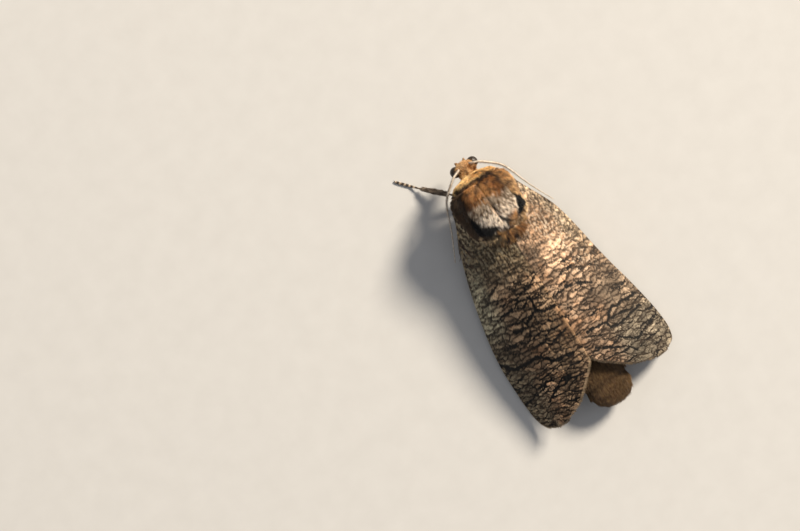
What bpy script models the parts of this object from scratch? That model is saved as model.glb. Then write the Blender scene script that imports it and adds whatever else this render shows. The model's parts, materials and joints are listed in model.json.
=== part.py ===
"""Goat moth (Cossus cossus) at rest, life size, as a still museum model.

The moth stands on the floor plane, its head towards -Y and its wings folded like a roof over the abdomen.
Shapes are laid out in millimetres in the moth's own terms:

    side      distance from the midline, positive towards the moth's left (+X)
    station   distance behind the eyes (+Y)
    height    distance above the floor (+Z)

place() turns these into metres. Every solid keeps a small gap to its neighbours.
"""

import math

import bmesh
import bpy
from mathutils import Matrix, Vector

MM = 0.001  # one millimetre, in metres

# Where the midline and station 0 lie, so that the origin is under the middle of the whole moth
MIDLINE_X = 0.68
HEAD_Y = -19.27

GAP = 0.3  # between solids that touch in life
WING_THICKNESS = 0.5
FEELER_RADIUS = 0.26

# Head and eyes
HEAD_CENTRE = (0.0, 0.25, 6.3)
HEAD_HALF_SIZE = (1.9, 1.35, 2.25)
EYE_CENTRE = (1.48, -0.12, 6.45)
EYE_RADIUS = 0.9

# Thorax, as (station, value) knots of its outline from above and from the side
THORAX_FRONT, THORAX_REAR = 0.95, 13.9
THORAX_HALF_WIDTH = ((0.95, 1.2), (1.5, 2.9), (2.4, 4.1), (3.6, 4.7), (5.0, 5.05), (7.0, 5.2), (9.0, 5.1),
                     (11.0, 4.7), (12.8, 3.5), (13.9, 1.6))
THORAX_TOP = ((0.95, 9.9), (1.5, 11.0), (2.4, 11.75), (3.6, 12.3), (5.0, 12.7), (7.0, 12.85), (9.0, 12.6),
              (11.0, 12.1), (12.8, 11.5), (13.9, 10.6))
THORAX_BOTTOM = ((0.95, 8.8), (1.5, 7.2), (2.4, 5.3), (3.6, 3.7), (5.0, 2.9), (7.0, 2.6), (9.0, 2.5),
                 (11.0, 2.7), (12.8, 3.9), (13.9, 6.6))
COLLAR_END = 2.75  # station where the collar's scales give way to the mesothorax
METATHORAX_START = 11.0
TEGULA_SIDE = 3.9  # the shoulder flaps lie outside this, above TEGULA_FLOOR
TEGULA_STATIONS = (3.2, 10.4)
TEGULA_FLOOR = 6.6
TEGULA_SWELL = 0.12  # how far the flaps stand proud of the thorax

# Abdomen, seven rings that taper to a blunt end
ABDOMEN_RINGS = 7
ABDOMEN_FRONT, ABDOMEN_REAR = 14.15, 42.8
ABDOMEN_HALF_WIDTH = ((14.0, 4.0), (18.0, 4.7), (24.0, 4.85), (30.0, 4.75), (36.0, 4.4), (40.0, 3.95), (42.8, 2.9))
ABDOMEN_HALF_HEIGHT = ((14.0, 3.6), (18.0, 3.95), (24.0, 3.95), (30.0, 3.6), (36.0, 3.0), (40.0, 2.5), (42.8, 1.8))
ABDOMEN_HEIGHT = ((14.0, 5.6), (18.0, 4.9), (24.0, 4.7), (30.0, 4.35), (36.0, 3.8), (40.0, 3.45), (42.8, 3.2))
ABDOMEN_BEND = ((14.0, 0.0), (30.0, 0.0), (36.0, -0.2), (42.8, -0.65))  # its end lies a little to the right
RING_WAIST = 0.93  # each ring's front edge against its middle

# Folded wings: the ridge over the back, and the costa, the wing's outer leading edge
RIDGE_SIDE = 0.14
RIDGE_HEIGHT = ((5.0, 11.4), (12.5, 11.3), (20.0, 11.0), (28.0, 10.0), (34.5, 8.85), (40.0, 7.9))
COSTA_SIDE = {
    "left": ((4.6, 5.4), (6.0, 5.7), (8.0, 6.5), (10.0, 7.3), (12.0, 8.1), (16.0, 9.4), (20.7, 10.6), (24.6, 11.4),
             (28.5, 11.9), (33.7, 11.95), (40.0, 11.6)),
    "right": ((4.6, 5.4), (6.0, 5.85), (8.0, 6.85), (10.0, 7.9), (12.0, 8.8), (16.0, 9.8), (20.7, 10.6),
              (24.6, 11.35), (28.5, 12.2), (33.7, 13.1), (40.0, 13.6)),
}
COSTA_HEIGHT = ((4.6, 6.5), (8.0, 4.9), (12.0, 3.1), (16.0, 1.9), (22.0, 1.1), (28.0, 0.85), (40.0, 0.9))
ROOF_SHOULDER = (0.56, 0.07)  # where the roof bends, as shares of its half-width and of its drop
SWEEP_FROM, SWEEP_TO = 12.0, 40.0  # between these stations the left wing's costa slips back, the right one's forward
SWEEP = {"left": 0.7, "right": -0.45}
FOREWING_INNER = ((5.0, 0.55), (8.5, 0.20), (13.0, 0.02), (20.0, 0.0), (27.0, 0.0), (32.6, 0.0), (34.6, 0.04),
                  (36.6, 0.19), (38.8, 0.40), (40.1, 0.66))
FOREWING_OUTER = ((4.7, 1.0), (8.5, 1.0), (13.0, 1.0), (20.0, 1.0), (27.0, 1.0), (32.0, 1.0), (35.0, 1.0),
                  (37.5, 0.99), (39.3, 0.93), (40.15, 0.79))
HINDWING_INNER = ((12.0, 0.35), (15.0, 0.08), (24.0, 0.04), (32.0, 0.04), (35.6, 0.08), (37.2, 0.26))
HINDWING_OUTER = ((12.0, 0.70), (16.5, 0.74), (24.0, 0.74), (31.0, 0.70), (35.2, 0.60), (37.2, 0.38))
HINDWING_DROP = WING_THICKNESS + GAP + 0.1

# Feelers and palps, as (side, station, height) on the moth's left
ANTENNA_PATH = ((1.25, 0.0, 8.5), (1.75, 0.18, 8.68), (2.4, 0.5, 8.8), (3.2, 1.1, 8.55), (4.2, 1.9, 8.0),
                (5.1, 2.9, 7.2), (5.8, 4.3, 6.4), (6.4, 5.9, 5.7), (7.1, 7.6, 5.0), (8.0, 9.5, 4.3), (8.9, 11.3, 3.7))
PALP_PATH = ((0.60, -0.68, 3.95), (0.68, -1.02, 4.2), (0.72, -1.26, 4.8), (0.72, -1.34, 5.4))
PALP_RADII = (0.28, 0.37, 0.35, 0.2)

# Legs, from the hip (side, station, height) by the knee and ankle to the claw; the left side is positive
HIPS = {"fore": (0.95, 4.6, 1.35), "mid": (1.0, 7.4, 1.35), "hind": (1.0, 10.3, 1.35)}
LEGS = {
    ("fore", "left"): ((3.75, 2.3, 3.05), (7.3, -1.25, 0.62), (9.85, -4.15, 0.16)),
    ("fore", "right"): ((-3.1, 2.0, 3.1), (-4.7, 5.2, 0.62), (-5.3, 9.1, 0.16)),
    ("mid", "left"): ((5.4, 7.2, 3.1), (7.6, 11.3, 0.62), (8.3, 15.7, 0.16)),
    ("mid", "right"): ((-5.4, 7.2, 3.1), (-7.6, 11.3, 0.62), (-8.3, 15.7, 0.16)),
    ("hind", "left"): ((5.7, 13.2, 3.0), (7.3, 21.0, 0.62), (8.0, 27.4, 0.16)),
    ("hind", "right"): ((-5.7, 13.2, 3.0), (-7.3, 21.0, 0.62), (-8.0, 27.4, 0.16)),
}
COXA_RADIUS, FEMUR_RADIUS, TIBIA_RADIUS, TARSUS_RADIUS = 0.62, 0.52, 0.44, 0.27
COXA_TOP, COXA_LIFT = 4.5, 0.7  # where the coxa begins, inside the thorax, and how far above the hip it ends
JOINT_GAP = 0.27  # left at each end of a leg's pieces

# Linear colours and roughness of each finish
FINISHES = {
    "head_scales": ((0.20, 0.105, 0.045), 0.9),
    "eye": ((0.012, 0.009, 0.007), 0.2),
    "collar_scales": ((0.52, 0.27, 0.08), 0.9),
    "thorax_scales": ((0.20, 0.13, 0.085), 0.9),
    "wing_scales": ((0.19, 0.135, 0.09), 0.85),
    "hindwing_scales": ((0.17, 0.105, 0.055), 0.85),
    "abdomen_scales": ((0.16, 0.10, 0.055), 0.9),
    "feeler": ((0.42, 0.37, 0.32), 0.7),
    "leg_scales": ((0.11, 0.085, 0.065), 0.85),
}


def place(side, station, height):
    """A point given in the moth's own terms, in metres."""
    return Vector((MIDLINE_X + side, HEAD_Y + station, height)) * MM


def through(knots, x):
    """The smooth curve through (x, value) knots, read at x; straight on beyond the ends."""
    count = len(knots)
    i = 0
    while i < count - 2 and x > knots[i + 1][0]:
        i += 1
    slopes = [(b[1] - a[1]) / (b[0] - a[0]) for a, b in zip(knots, knots[1:])]
    start = slopes[0] if i == 0 else (slopes[i - 1] + slopes[i]) / 2
    end = slopes[-1] if i == count - 2 else (slopes[i] + slopes[i + 1]) / 2
    (x0, v0), (x1, v1) = knots[i], knots[i + 1]
    span = x1 - x0
    t = min(max((x - x0) / span, 0.0), 1.0)
    value = (v0 * (1 + 2 * t) * (1 - t) ** 2 + v1 * t * t * (3 - 2 * t)
             + start * span * t * (1 - t) ** 2 - end * span * t * t * (1 - t))
    return value + slopes[0] * min(x - knots[0][0], 0) + slopes[-1] * max(x - knots[-1][0], 0)


def spline_points(points, count):
    """Points evenly spread, by share, along the smooth curve through a list of points."""
    shares = [i / (len(points) - 1) for i in range(len(points))]
    axes = [[(s, p[axis]) for s, p in zip(shares, points)] for axis in range(len(points[0]))]
    return [tuple(through(axis, i / (count - 1)) for axis in axes) for i in range(count)]


def finish(name):
    """The Principled material of that name, made once."""
    material = bpy.data.materials.get(name)
    if material is None:
        colour, roughness = FINISHES[name]
        material = bpy.data.materials.new(name)
        material.use_nodes = True
        shader = material.node_tree.nodes["Principled BSDF"]
        shader.inputs["Base Color"].default_value = (*colour, 1.0)
        shader.inputs["Roughness"].default_value = roughness
        shader.inputs["Metallic"].default_value = 0.0
    return material


def add_object(name, data, finish_name=None, collection="moth"):
    """Links an object to its collection; one with no finish is a cutter, which the model leaves out."""
    obj = bpy.data.objects.new(name, data)
    bpy.data.collections[collection].objects.link(obj)
    if finish_name:
        data.materials.append(finish(finish_name))
    else:
        obj.hide_render = True
        obj.display_type = "WIRE"
    return obj


def mesh_from(bm, name):
    """A smooth-shaded mesh from a bmesh, its faces turned outwards."""
    bmesh.ops.recalc_face_normals(bm, faces=bm.faces)
    mesh = bpy.data.meshes.new(name)
    bm.to_mesh(mesh)
    bm.free()
    mesh.shade_smooth()
    return mesh


def lofted(name, rings):
    """A closed mesh through rings of points that have the same number of sides, with flat ends."""
    bm = bmesh.new()
    loops = [[bm.verts.new(point) for point in ring] for ring in rings]
    sides = len(rings[0])
    for near, far in zip(loops, loops[1:]):
        for i in range(sides):
            j = (i + 1) % sides
            bm.faces.new((near[i], near[j], far[j], far[i]))
    bm.faces.new(loops[0])
    bm.faces.new(loops[-1])
    return mesh_from(bm, name)


def oval(station, half_width, bottom, top, sides, centre=0.0):
    """An upright oval ring across the body."""
    middle, half_height = (top + bottom) / 2, (top - bottom) / 2
    turns = [2 * math.pi * i / sides for i in range(sides)]
    return [place(centre + half_width * math.cos(t), station, middle + half_height * math.sin(t)) for t in turns]


def cut(obj, cutters, operation="DIFFERENCE"):
    """Adds a Boolean modifier for each cutter."""
    for cutter in cutters:
        modifier = obj.modifiers.new(operation.lower(), "BOOLEAN")
        modifier.operation = operation
        modifier.object = cutter


def mirrored(point, side_sign):
    return (point[0] * side_sign, point[1], point[2])


def tube(name, points, radii, finish_name, collection="moth"):
    """A round tube along points in the moth's terms, with a radius in millimetres at each."""
    curve = bpy.data.curves.new(name, "CURVE")
    curve.dimensions = "3D"
    curve.bevel_depth = MM
    curve.bevel_resolution = 2
    curve.use_fill_caps = True
    spline = curve.splines.new("POLY")
    spline.points.add(len(points) - 1)
    for target, point, radius in zip(spline.points, points, radii):
        target.co = (*place(*point), 1.0)
        target.radius = radius
    return add_object(name, curve, finish_name, collection)


def as_mesh(curve_object):
    """Turns a tube into a closed mesh object of the same name."""
    graph = bpy.context.evaluated_depsgraph_get()
    mesh = bpy.data.meshes.new_from_object(curve_object.evaluated_get(graph))
    name, collection = curve_object.name, curve_object.users_collection[0]
    bpy.data.objects.remove(curve_object)
    bm = bmesh.new()
    bm.from_mesh(mesh)
    bmesh.ops.remove_doubles(bm, verts=bm.verts, dist=0.01 * MM)
    bm.to_mesh(mesh)
    bm.free()
    obj = bpy.data.objects.new(name, mesh)
    collection.objects.link(obj)
    return obj


def limb(name, start, end, radius, finish_name="leg_scales"):
    """A leg's piece: a spindle from start to end that leaves a gap at both joints."""
    shares = (0.0, 0.06, 0.25, 0.55, 0.88, 1.0)
    girths = (0.45, 0.78, 1.0, 0.95, 0.72, 0.42)
    first, last = Vector(start), Vector(end)
    trim = (last - first).normalized() * JOINT_GAP
    first, last = first + trim, last - trim
    points = [tuple(first.lerp(last, share)) for share in shares]
    return tube(name, points, [radius * girth for girth in girths], finish_name)


# ---- head ----------------------------------------------------------------------------------------------


def ball(name, centre, half_size, segments, finish_name=None, collection="cutters"):
    """An ellipsoid with its poles fore and aft."""
    bm = bmesh.new()
    bmesh.ops.create_uvsphere(bm, u_segments=segments, v_segments=segments // 2, radius=1.0)
    shape = Matrix.Translation(place(*centre)) @ Matrix.Diagonal((*(Vector(half_size) * MM), 1.0))
    bmesh.ops.transform(bm, verts=bm.verts, matrix=shape @ Matrix.Rotation(math.pi / 2, 4, "X"))
    return add_object(name, mesh_from(bm, name), finish_name, collection)


def build_head():
    """The head, with a socket for each large eye."""
    head = ball("head", HEAD_CENTRE, HEAD_HALF_SIZE, 20, "head_scales", "moth")
    for side, sign in (("left", 1), ("right", -1)):
        centre = mirrored(EYE_CENTRE, sign)
        ball(f"eye_{side}", centre, [EYE_RADIUS] * 3, 14, "eye", "moth")
        cut(head, [ball(f"socket_{side}", centre, [EYE_RADIUS + GAP / 2] * 3, 14)])


def build_feelers():
    """The antennae, swept back along the shoulders, and the short upturned palps under the face."""
    for side, sign in (("left", 1), ("right", -1)):
        path = spline_points([mirrored(p, sign) for p in ANTENNA_PATH], 19)
        tube(f"antenna_{side}", path, [FEELER_RADIUS] * len(path), "feeler")
        tube(f"palp_{side}", [mirrored(p, sign) for p in PALP_PATH], PALP_RADII, "head_scales")


# ---- thorax --------------------------------------------------------------------------------------------


def thorax_mesh(name, grow=0.0, stations=14, sides=22):
    """The whole thorax as one egg, or the egg grown all round to cut its neighbours."""
    rings = []
    for i in range(stations):
        station = THORAX_FRONT + (THORAX_REAR - THORAX_FRONT) * (1 - math.cos(math.pi * i / (stations - 1))) / 2
        outline = [through(knots, station) for knots in (THORAX_HALF_WIDTH, THORAX_BOTTOM, THORAX_TOP)]
        moved = station + grow * (2 * i / (stations - 1) - 1)
        rings.append(oval(moved, outline[0] + grow, outline[1] - grow, outline[2] + grow, sides))
    return lofted(name, rings)


def box(name, low, high):
    """A cutter box between two corners in the moth's terms."""
    bm = bmesh.new()
    bmesh.ops.create_cube(bm, size=1.0)
    first, last = place(*low), place(*high)
    shape = Matrix.Translation((first + last) / 2) @ Matrix.Diagonal((*(last - first), 1.0))
    bmesh.ops.transform(bm, verts=bm.verts, matrix=shape)
    return add_object(name, mesh_from(bm, name), None, "cutters")


def build_thorax():
    """Collar, mesothorax, metathorax and the two shoulder flaps, parted from one egg by thin cuts."""
    wide, low, high = 20.0, -1.0, 20.0
    half_gap = GAP / 2
    slices = {
        "collar": ("collar_scales", THORAX_FRONT - 1, COLLAR_END - half_gap),
        "thorax": ("thorax_scales", COLLAR_END + half_gap, METATHORAX_START - half_gap),
        "metathorax": ("thorax_scales", METATHORAX_START + half_gap, THORAX_REAR + 1),
    }
    pieces = {}
    for name, (finish_name, start, end) in slices.items():
        pieces[name] = add_object(name, thorax_mesh(name), finish_name)
        cut(pieces[name], [box(f"{name}_slice", (-wide, start, low), (wide, end, high))], "INTERSECT")
    start, end = TEGULA_STATIONS
    for side, sign in (("left", 1), ("right", -1)):
        inner, outer = sorted((TEGULA_SIDE * sign, wide * sign)), GAP
        flap = add_object(f"tegula_{side}", thorax_mesh(f"tegula_{side}", TEGULA_SWELL), "thorax_scales")
        flap_box = box(f"tegula_box_{side}", (inner[0], start, TEGULA_FLOOR), (inner[1], end, high))
        cut(flap, [flap_box], "INTERSECT")
        recess = box(f"tegula_recess_{side}", (inner[0] - outer, start - outer, TEGULA_FLOOR - outer),
                     (inner[1] + outer, end + outer, high))
        cut(pieces["thorax"], [recess])


# ---- abdomen -------------------------------------------------------------------------------------------


def build_abdomen():
    """Seven rings, each a little waisted in front so that the one before overhangs it."""
    length = (ABDOMEN_REAR - ABDOMEN_FRONT) / ABDOMEN_RINGS
    for number in range(ABDOMEN_RINGS):
        start = ABDOMEN_FRONT + length * number
        is_last = number == ABDOMEN_RINGS - 1
        swell = ((0.0, RING_WAIST), (0.3, 0.99), (0.94, 1.0), (1.0, 0.96))
        if is_last:
            swell = ((0.0, RING_WAIST), (0.3, 0.99), (0.65, 0.97), (0.88, 0.80), (1.0, 0.42))
        rings = []
        for share, size in swell:
            station = start + share * (length - (0 if is_last else GAP))
            half_width = through(ABDOMEN_HALF_WIDTH, station) * size
            half_height = through(ABDOMEN_HALF_HEIGHT, station) * size
            middle, bend = through(ABDOMEN_HEIGHT, station), through(ABDOMEN_BEND, station)
            rings.append(oval(station, half_width, middle - half_height, middle + half_height, 18, bend))
        name = f"abdomen_{number + 1}"
        add_object(name, lofted(name, rings), "abdomen_scales")


# ---- wings ---------------------------------------------------------------------------------------------


def roof_point(side, station, share):
    """(side, height) on the folded wings' roof: share 0 is the ridge over the back and 1 is the costa."""
    half_width = through(COSTA_SIDE[side], station)
    top = through(RIDGE_HEIGHT, station)
    drop = top - through(COSTA_HEIGHT, station)
    bend = (ROOF_SHOULDER[0] * half_width, top - ROOF_SHOULDER[1] * drop)
    weights = ((1 - share) ** 2, 2 * share * (1 - share), share**2)
    across = weights[0] * RIDGE_SIDE + weights[1] * bend[0] + weights[2] * half_width
    return across, weights[0] * top + weights[1] * bend[1] + weights[2] * (top - drop)


def wing(name, side, inner, outer, columns, rows, drop, finish_name):
    """A wing as a curved grid between its inner and its outer edge, thickened downwards."""
    sign = 1 if side == "left" else -1
    bm = bmesh.new()
    bmesh.ops.create_grid(bm, x_segments=columns, y_segments=rows, size=1.0)
    inner_edge = [[(i / (len(inner) - 1), knot[axis]) for i, knot in enumerate(inner)] for axis in (0, 1)]
    outer_edge = [[(i / (len(outer) - 1), knot[axis]) for i, knot in enumerate(outer)] for axis in (0, 1)]
    for vert in bm.verts:
        along, across = (vert.co.x + 1) / 2, (vert.co.y + 1) / 2
        near = [through(edge, along) for edge in inner_edge]
        far = [through(edge, along) for edge in outer_edge]
        station = near[0] + (far[0] - near[0]) * across
        share = near[1] + (far[1] - near[1]) * across
        over, height = roof_point(side, station, share)
        slope_over, slope_height = roof_point(side, station, share + 0.02)
        inward = Vector((height - slope_height, slope_over - over)).normalized() * -drop
        swept = SWEEP[side] * share * max(station - SWEEP_FROM, 0) / (SWEEP_TO - SWEEP_FROM)
        vert.co = place(sign * (over + inward.x), station + swept, height + inward.y)
    mesh = mesh_from(bm, name)
    if mesh.polygons[len(mesh.polygons) // 2].normal.z < 0:
        mesh.flip_normals()
    obj = add_object(name, mesh, finish_name)
    shell = obj.modifiers.new("thickness", "SOLIDIFY")
    shell.thickness = WING_THICKNESS * MM
    shell.offset = -1.0
    return obj


def build_wings():
    """Forewings as a roof over the back, and the hindwings folded close under them."""
    body = add_object("thorax_clearance", thorax_mesh("thorax_clearance", TEGULA_SWELL + GAP), None, "cutters")
    for side in ("left", "right"):
        forewing = wing(f"forewing_{side}", side, FOREWING_INNER, FOREWING_OUTER, 26, 8, 0.0, "wing_scales")
        hindwing = wing(f"hindwing_{side}", side, HINDWING_INNER, HINDWING_OUTER, 13, 5, HINDWING_DROP,
                        "hindwing_scales")
        cut(forewing, [body])
        cut(hindwing, [body])


# ---- legs ----------------------------------------------------------------------------------------------


def on_floor(obj):
    """Presses whatever dips below the floor into a small flat at floor level."""
    for vert in obj.data.vertices:
        vert.co.z = max(vert.co.z, 0.0)


def build_legs():
    """Six legs of four pieces, from the hip under the thorax to the foot on the floor."""
    body = add_object("hip_clearance", thorax_mesh("hip_clearance", GAP), None, "cutters")
    for (pair, side), (knee, ankle, claw) in LEGS.items():
        name = f"leg_{pair}_{side}"
        hip = mirrored(HIPS[pair], 1 if side == "left" else -1)
        socket = (hip[0], hip[1], hip[2] + COXA_LIFT)
        coxa = tube(f"{name}_coxa", [(hip[0] * 0.8, hip[1], COXA_TOP), socket], (COXA_RADIUS, COXA_RADIUS * 0.7),
                    "leg_scales")
        coxa = as_mesh(coxa)
        cut(coxa, [body])
        limb(f"{name}_femur", hip, knee, FEMUR_RADIUS)
        limb(f"{name}_tibia", knee, ankle, TIBIA_RADIUS)
        first, last = Vector(ankle), Vector(claw)
        first += (last - first).normalized() * JOINT_GAP
        sole = Vector((first.x, first.y, last.z)).lerp(last, 0.3)
        path = [tuple(first), tuple(sole), tuple(sole.lerp(last, 0.5)), tuple(sole.lerp(last, 0.93)), tuple(last)]
        foot = tube(f"{name}_tarsus", path, [TARSUS_RADIUS * g for g in (0.9, 1.0, 1.0, 0.95, 0.6)], "leg_scales")
        on_floor(as_mesh(foot))


def main():
    for obj in list(bpy.data.objects):
        bpy.data.objects.remove(obj)
    for name in ("moth", "cutters"):
        collection = bpy.data.collections.new(name)
        bpy.context.scene.collection.children.link(collection)
    bpy.data.collections["cutters"].hide_render = True
    build_head()
    build_feelers()
    build_thorax()
    build_abdomen()
    build_wings()
    build_legs()


main()
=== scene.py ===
"""Goat moth (Cossus cossus) at rest: the looks of every piece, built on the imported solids.

Shapes are laid out in millimetres in the moth's own terms, mostly as numpy arrays:

    side      distance from the midline, positive towards the moth's left (+X)
    station   distance behind the eyes (+Y)
    height    distance above the floor (+Z)

place() turns these into metres in the shared frame, and terms() turns metres back. Colours are linear.
One skin covers head, thorax, abdomen and legs. Locks of scales grow on it in Geometry Nodes. At each point
the skin keeps the colour that the markings have where a lock rooted there lies. The wings are thin sheets
with raised plates, shingled with flat scales.
"""

import itertools
import json
import math

import bmesh
import bpy
import numpy as np
from mathutils import Matrix, Vector
from mathutils.bvhtree import BVHTree

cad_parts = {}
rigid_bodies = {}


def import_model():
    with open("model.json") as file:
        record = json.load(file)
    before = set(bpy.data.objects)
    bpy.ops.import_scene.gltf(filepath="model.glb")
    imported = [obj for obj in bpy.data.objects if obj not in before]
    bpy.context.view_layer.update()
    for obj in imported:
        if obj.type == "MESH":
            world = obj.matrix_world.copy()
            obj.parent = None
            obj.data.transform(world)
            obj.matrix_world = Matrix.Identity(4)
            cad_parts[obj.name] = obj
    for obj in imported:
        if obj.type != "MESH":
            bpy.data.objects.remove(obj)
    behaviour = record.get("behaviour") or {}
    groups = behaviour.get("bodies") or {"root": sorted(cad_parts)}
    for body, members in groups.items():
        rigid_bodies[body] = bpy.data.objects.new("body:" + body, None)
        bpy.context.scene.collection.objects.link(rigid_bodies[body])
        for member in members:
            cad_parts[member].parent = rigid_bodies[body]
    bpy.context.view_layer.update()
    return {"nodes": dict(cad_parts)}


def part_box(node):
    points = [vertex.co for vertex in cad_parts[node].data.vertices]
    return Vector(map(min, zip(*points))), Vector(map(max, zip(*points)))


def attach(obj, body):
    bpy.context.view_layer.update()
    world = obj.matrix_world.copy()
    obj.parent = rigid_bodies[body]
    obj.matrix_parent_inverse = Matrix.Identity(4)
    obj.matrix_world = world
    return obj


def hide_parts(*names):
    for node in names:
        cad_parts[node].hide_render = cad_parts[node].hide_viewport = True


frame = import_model()

MM = 0.001
SIDES = {"left": 1, "right": -1}


# ---- the moth's own terms ------------------------------------------------------------------------------


def middle(node):
    """The middle of a CAD node's box, in metres."""
    low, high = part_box(node)
    return (low + high) / 2


MIDLINE_X = (middle("eye_left").x + middle("eye_right").x) / 2
HEAD_STATION = 0.25
HEAD_Y = middle("head").y - HEAD_STATION * MM


def place(side, station, height):
    """Points in metres from arrays in the moth's own terms."""
    side, station, height = np.broadcast_arrays(side, station, height)
    return np.stack([MIDLINE_X + side * MM, HEAD_Y + station * MM, height * MM], -1)


def terms(points):
    """Side, station and height in millimetres of points in metres."""
    return (points[:, 0] - MIDLINE_X) / MM, (points[:, 1] - HEAD_Y) / MM, points[:, 2] / MM


def through(knots, x):
    """The smooth curve through (x, value) knots, read at x; straight on beyond the ends."""
    x = np.asarray(x, float)
    at, values = np.array(knots, float).T
    slopes = np.diff(values) / np.diff(at)
    tangents = np.concatenate([slopes[:1], (slopes[:-1] + slopes[1:]) / 2, slopes[-1:]])
    i = np.clip(np.searchsorted(at, x, "right") - 1, 0, len(at) - 2)
    span = at[i + 1] - at[i]
    t = np.clip((x - at[i]) / span, 0, 1)
    value = values[i] * (1 + 2 * t) * (1 - t) ** 2 + values[i + 1] * t * t * (3 - 2 * t)
    value = value + tangents[i] * span * t * (1 - t) ** 2 - tangents[i + 1] * span * t * t * (1 - t)
    return value + slopes[0] * np.minimum(x - at[0], 0) + slopes[-1] * np.maximum(x - at[-1], 0)


def ease(low, high, x):
    """A soft step from 0 at low to 1 at high; low may be the larger."""
    t = np.clip((x - low) / (high - low), 0, 1)
    return t * t * (3 - 2 * t)


def band(start, end, soft, x):
    """1 between start and end and 0 outside, with soft edges."""
    return ease(start - soft, start + soft, x) * ease(end + soft, end - soft, x)


def hump(x, width):
    """1 where x is 0, and fading out about a width to either side of it."""
    return np.exp(-((x / width) ** 2))


def unit(vectors):
    """The same directions with length 1."""
    return vectors / np.maximum(np.linalg.norm(vectors, axis=-1, keepdims=True), 1e-9)


def mix(first, second, share):
    """Blends colours, or arrays of them, by a share for each point."""
    share = np.asarray(share, float)[..., None]
    return np.asarray(first, float) * (1 - share) + np.asarray(second, float) * share


# ---- seeded noise and cells ----------------------------------------------------------------------------


def hashed(cells, seed):
    """A fixed random number from 0 to 1 for each whole-numbered cell."""
    value = np.full(cells.shape[:-1], seed * 7919 + 101, np.uint64)
    for axis in range(cells.shape[-1]):
        value = (value ^ cells[..., axis].astype(np.int64).view(np.uint64)) * np.uint64(0x9E3779B97F4A7C15)
        value ^= value >> np.uint64(29)
    return (value >> np.uint64(40)).astype(float) / 2**24


def soft_noise(*axes, seed):
    """Smooth noise from -1 to 1, with one bump for each unit of its axes."""
    points = np.stack(np.broadcast_arrays(*axes), -1)
    cells = np.floor(points)
    part = points - cells
    part = part * part * (3 - 2 * part)
    total = 0
    for corner in itertools.product((0, 1), repeat=points.shape[-1]):
        weight = np.prod(np.where(corner, part, 1 - part), -1)
        total = total + weight * hashed(cells + corner, seed)
    return total * 2 - 1


def layered_noise(*axes, seed, layers=3):
    """Noise with finer and weaker layers on top of each other."""
    total = 0
    for layer in range(layers):
        total = total + soft_noise(*[a * 2**layer for a in axes], seed=seed + layer) / 2**layer
    return total / 1.6


def plates(x, y, size, seed):
    """A net of cells with shifted middles, of a size in millimetres along x and y.

    Returns the distance to the nearest border in millimetres, how far that border runs across x from 0 to 1,
    and the cell's own number from 0 to 1."""
    size = np.array(size)
    points = np.stack([x, y], -1)
    home = np.floor(points / size)
    offsets = [np.array(o) for o in itertools.product((-2, -1, 0, 1, 2), repeat=2)]

    def cell_middle(cells):
        shift = np.stack([hashed(cells, seed), hashed(cells, seed + 50)], -1)
        return (cells + 0.1 + 0.8 * shift) * size

    nearest = np.full(x.shape, np.inf)
    winner = np.zeros(points.shape)
    own = np.zeros(x.shape)
    for offset in offsets:
        away = cell_middle(home + offset) - points
        distance = ((away / size) ** 2).sum(-1)
        closer = distance < nearest
        nearest = np.where(closer, distance, nearest)
        winner = np.where(closer[..., None], away, winner)
        own = np.where(closer, hashed(home + offset, seed + 90), own)
    border = np.full(x.shape, np.inf)
    across = np.zeros(x.shape)
    for offset in offsets:
        away = cell_middle(home + offset) - points
        between = (away - winner) / size**2
        length = np.linalg.norm(between, axis=-1)
        reach = ((away + winner) / 2 * between).sum(-1) / np.maximum(length, 1e-6)
        closer = (length > 1e-6) & (reach < border)
        border = np.where(closer, reach, border)
        across = np.where(closer, np.abs(between[..., 0]) / np.maximum(length, 1e-6), across)
    return border, across, own


def line_distance(x, y, path):
    """The distance from each point to a bent line."""
    return stroke_distance(x, y, [(*point, 0.0) for point in path])


def stroke_distance(x, y, path):
    """How far each point lies outside a stroke through (x, y, half-width) points; negative inside it."""
    outside = np.full(np.shape(x), np.inf)
    for (x0, y0, w0), (x1, y1, w1) in zip(path, path[1:]):
        dx, dy = x1 - x0, y1 - y0
        share = np.clip(((x - x0) * dx + (y - y0) * dy) / (dx * dx + dy * dy), 0, 1)
        away = np.hypot(x - x0 - share * dx, y - y0 - share * dy)
        outside = np.minimum(outside, away - w0 - share * (w1 - w0))
    return outside


# ---- node trees and meshes -----------------------------------------------------------------------------


def add_node(tree, kind, inputs=None, **settings):
    """Adds a node; each input gets a value, or the output socket that feeds it."""
    node = tree.nodes.new(kind)
    for name, value in settings.items():
        setattr(node, name, value)
    for name, value in (inputs or {}).items():
        if isinstance(value, bpy.types.NodeSocket):
            tree.links.new(value, node.inputs[name])
        else:
            node.inputs[name].default_value = value
    return node


def math_node(tree, operation, first, second):
    """The output of a Math node on two values or sockets."""
    return add_node(tree, "ShaderNodeMath", {0: first, 1: second}, operation=operation).outputs[0]


def vector_sum(tree, first, second):
    """The sum of two vectors."""
    return add_node(tree, "ShaderNodeVectorMath", {0: first, 1: second}, operation="ADD").outputs["Vector"]


def vector_times(tree, vector, scale):
    """A vector times a number."""
    node = add_node(tree, "ShaderNodeVectorMath", {0: vector, "Scale": scale}, operation="SCALE")
    return node.outputs["Vector"]


def new_tree(name):
    """An empty Geometry Nodes tree for a modifier."""
    tree = bpy.data.node_groups.new(name, "GeometryNodeTree")
    tree.is_modifier = True
    return tree


def finish_tree(tree, instances, finish):
    """Ends a tree: its instances made real, with their material on."""
    real = add_node(tree, "GeometryNodeRealizeInstances", {"Geometry": instances})
    return give_out(tree, real.outputs["Geometry"], finish)


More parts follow.
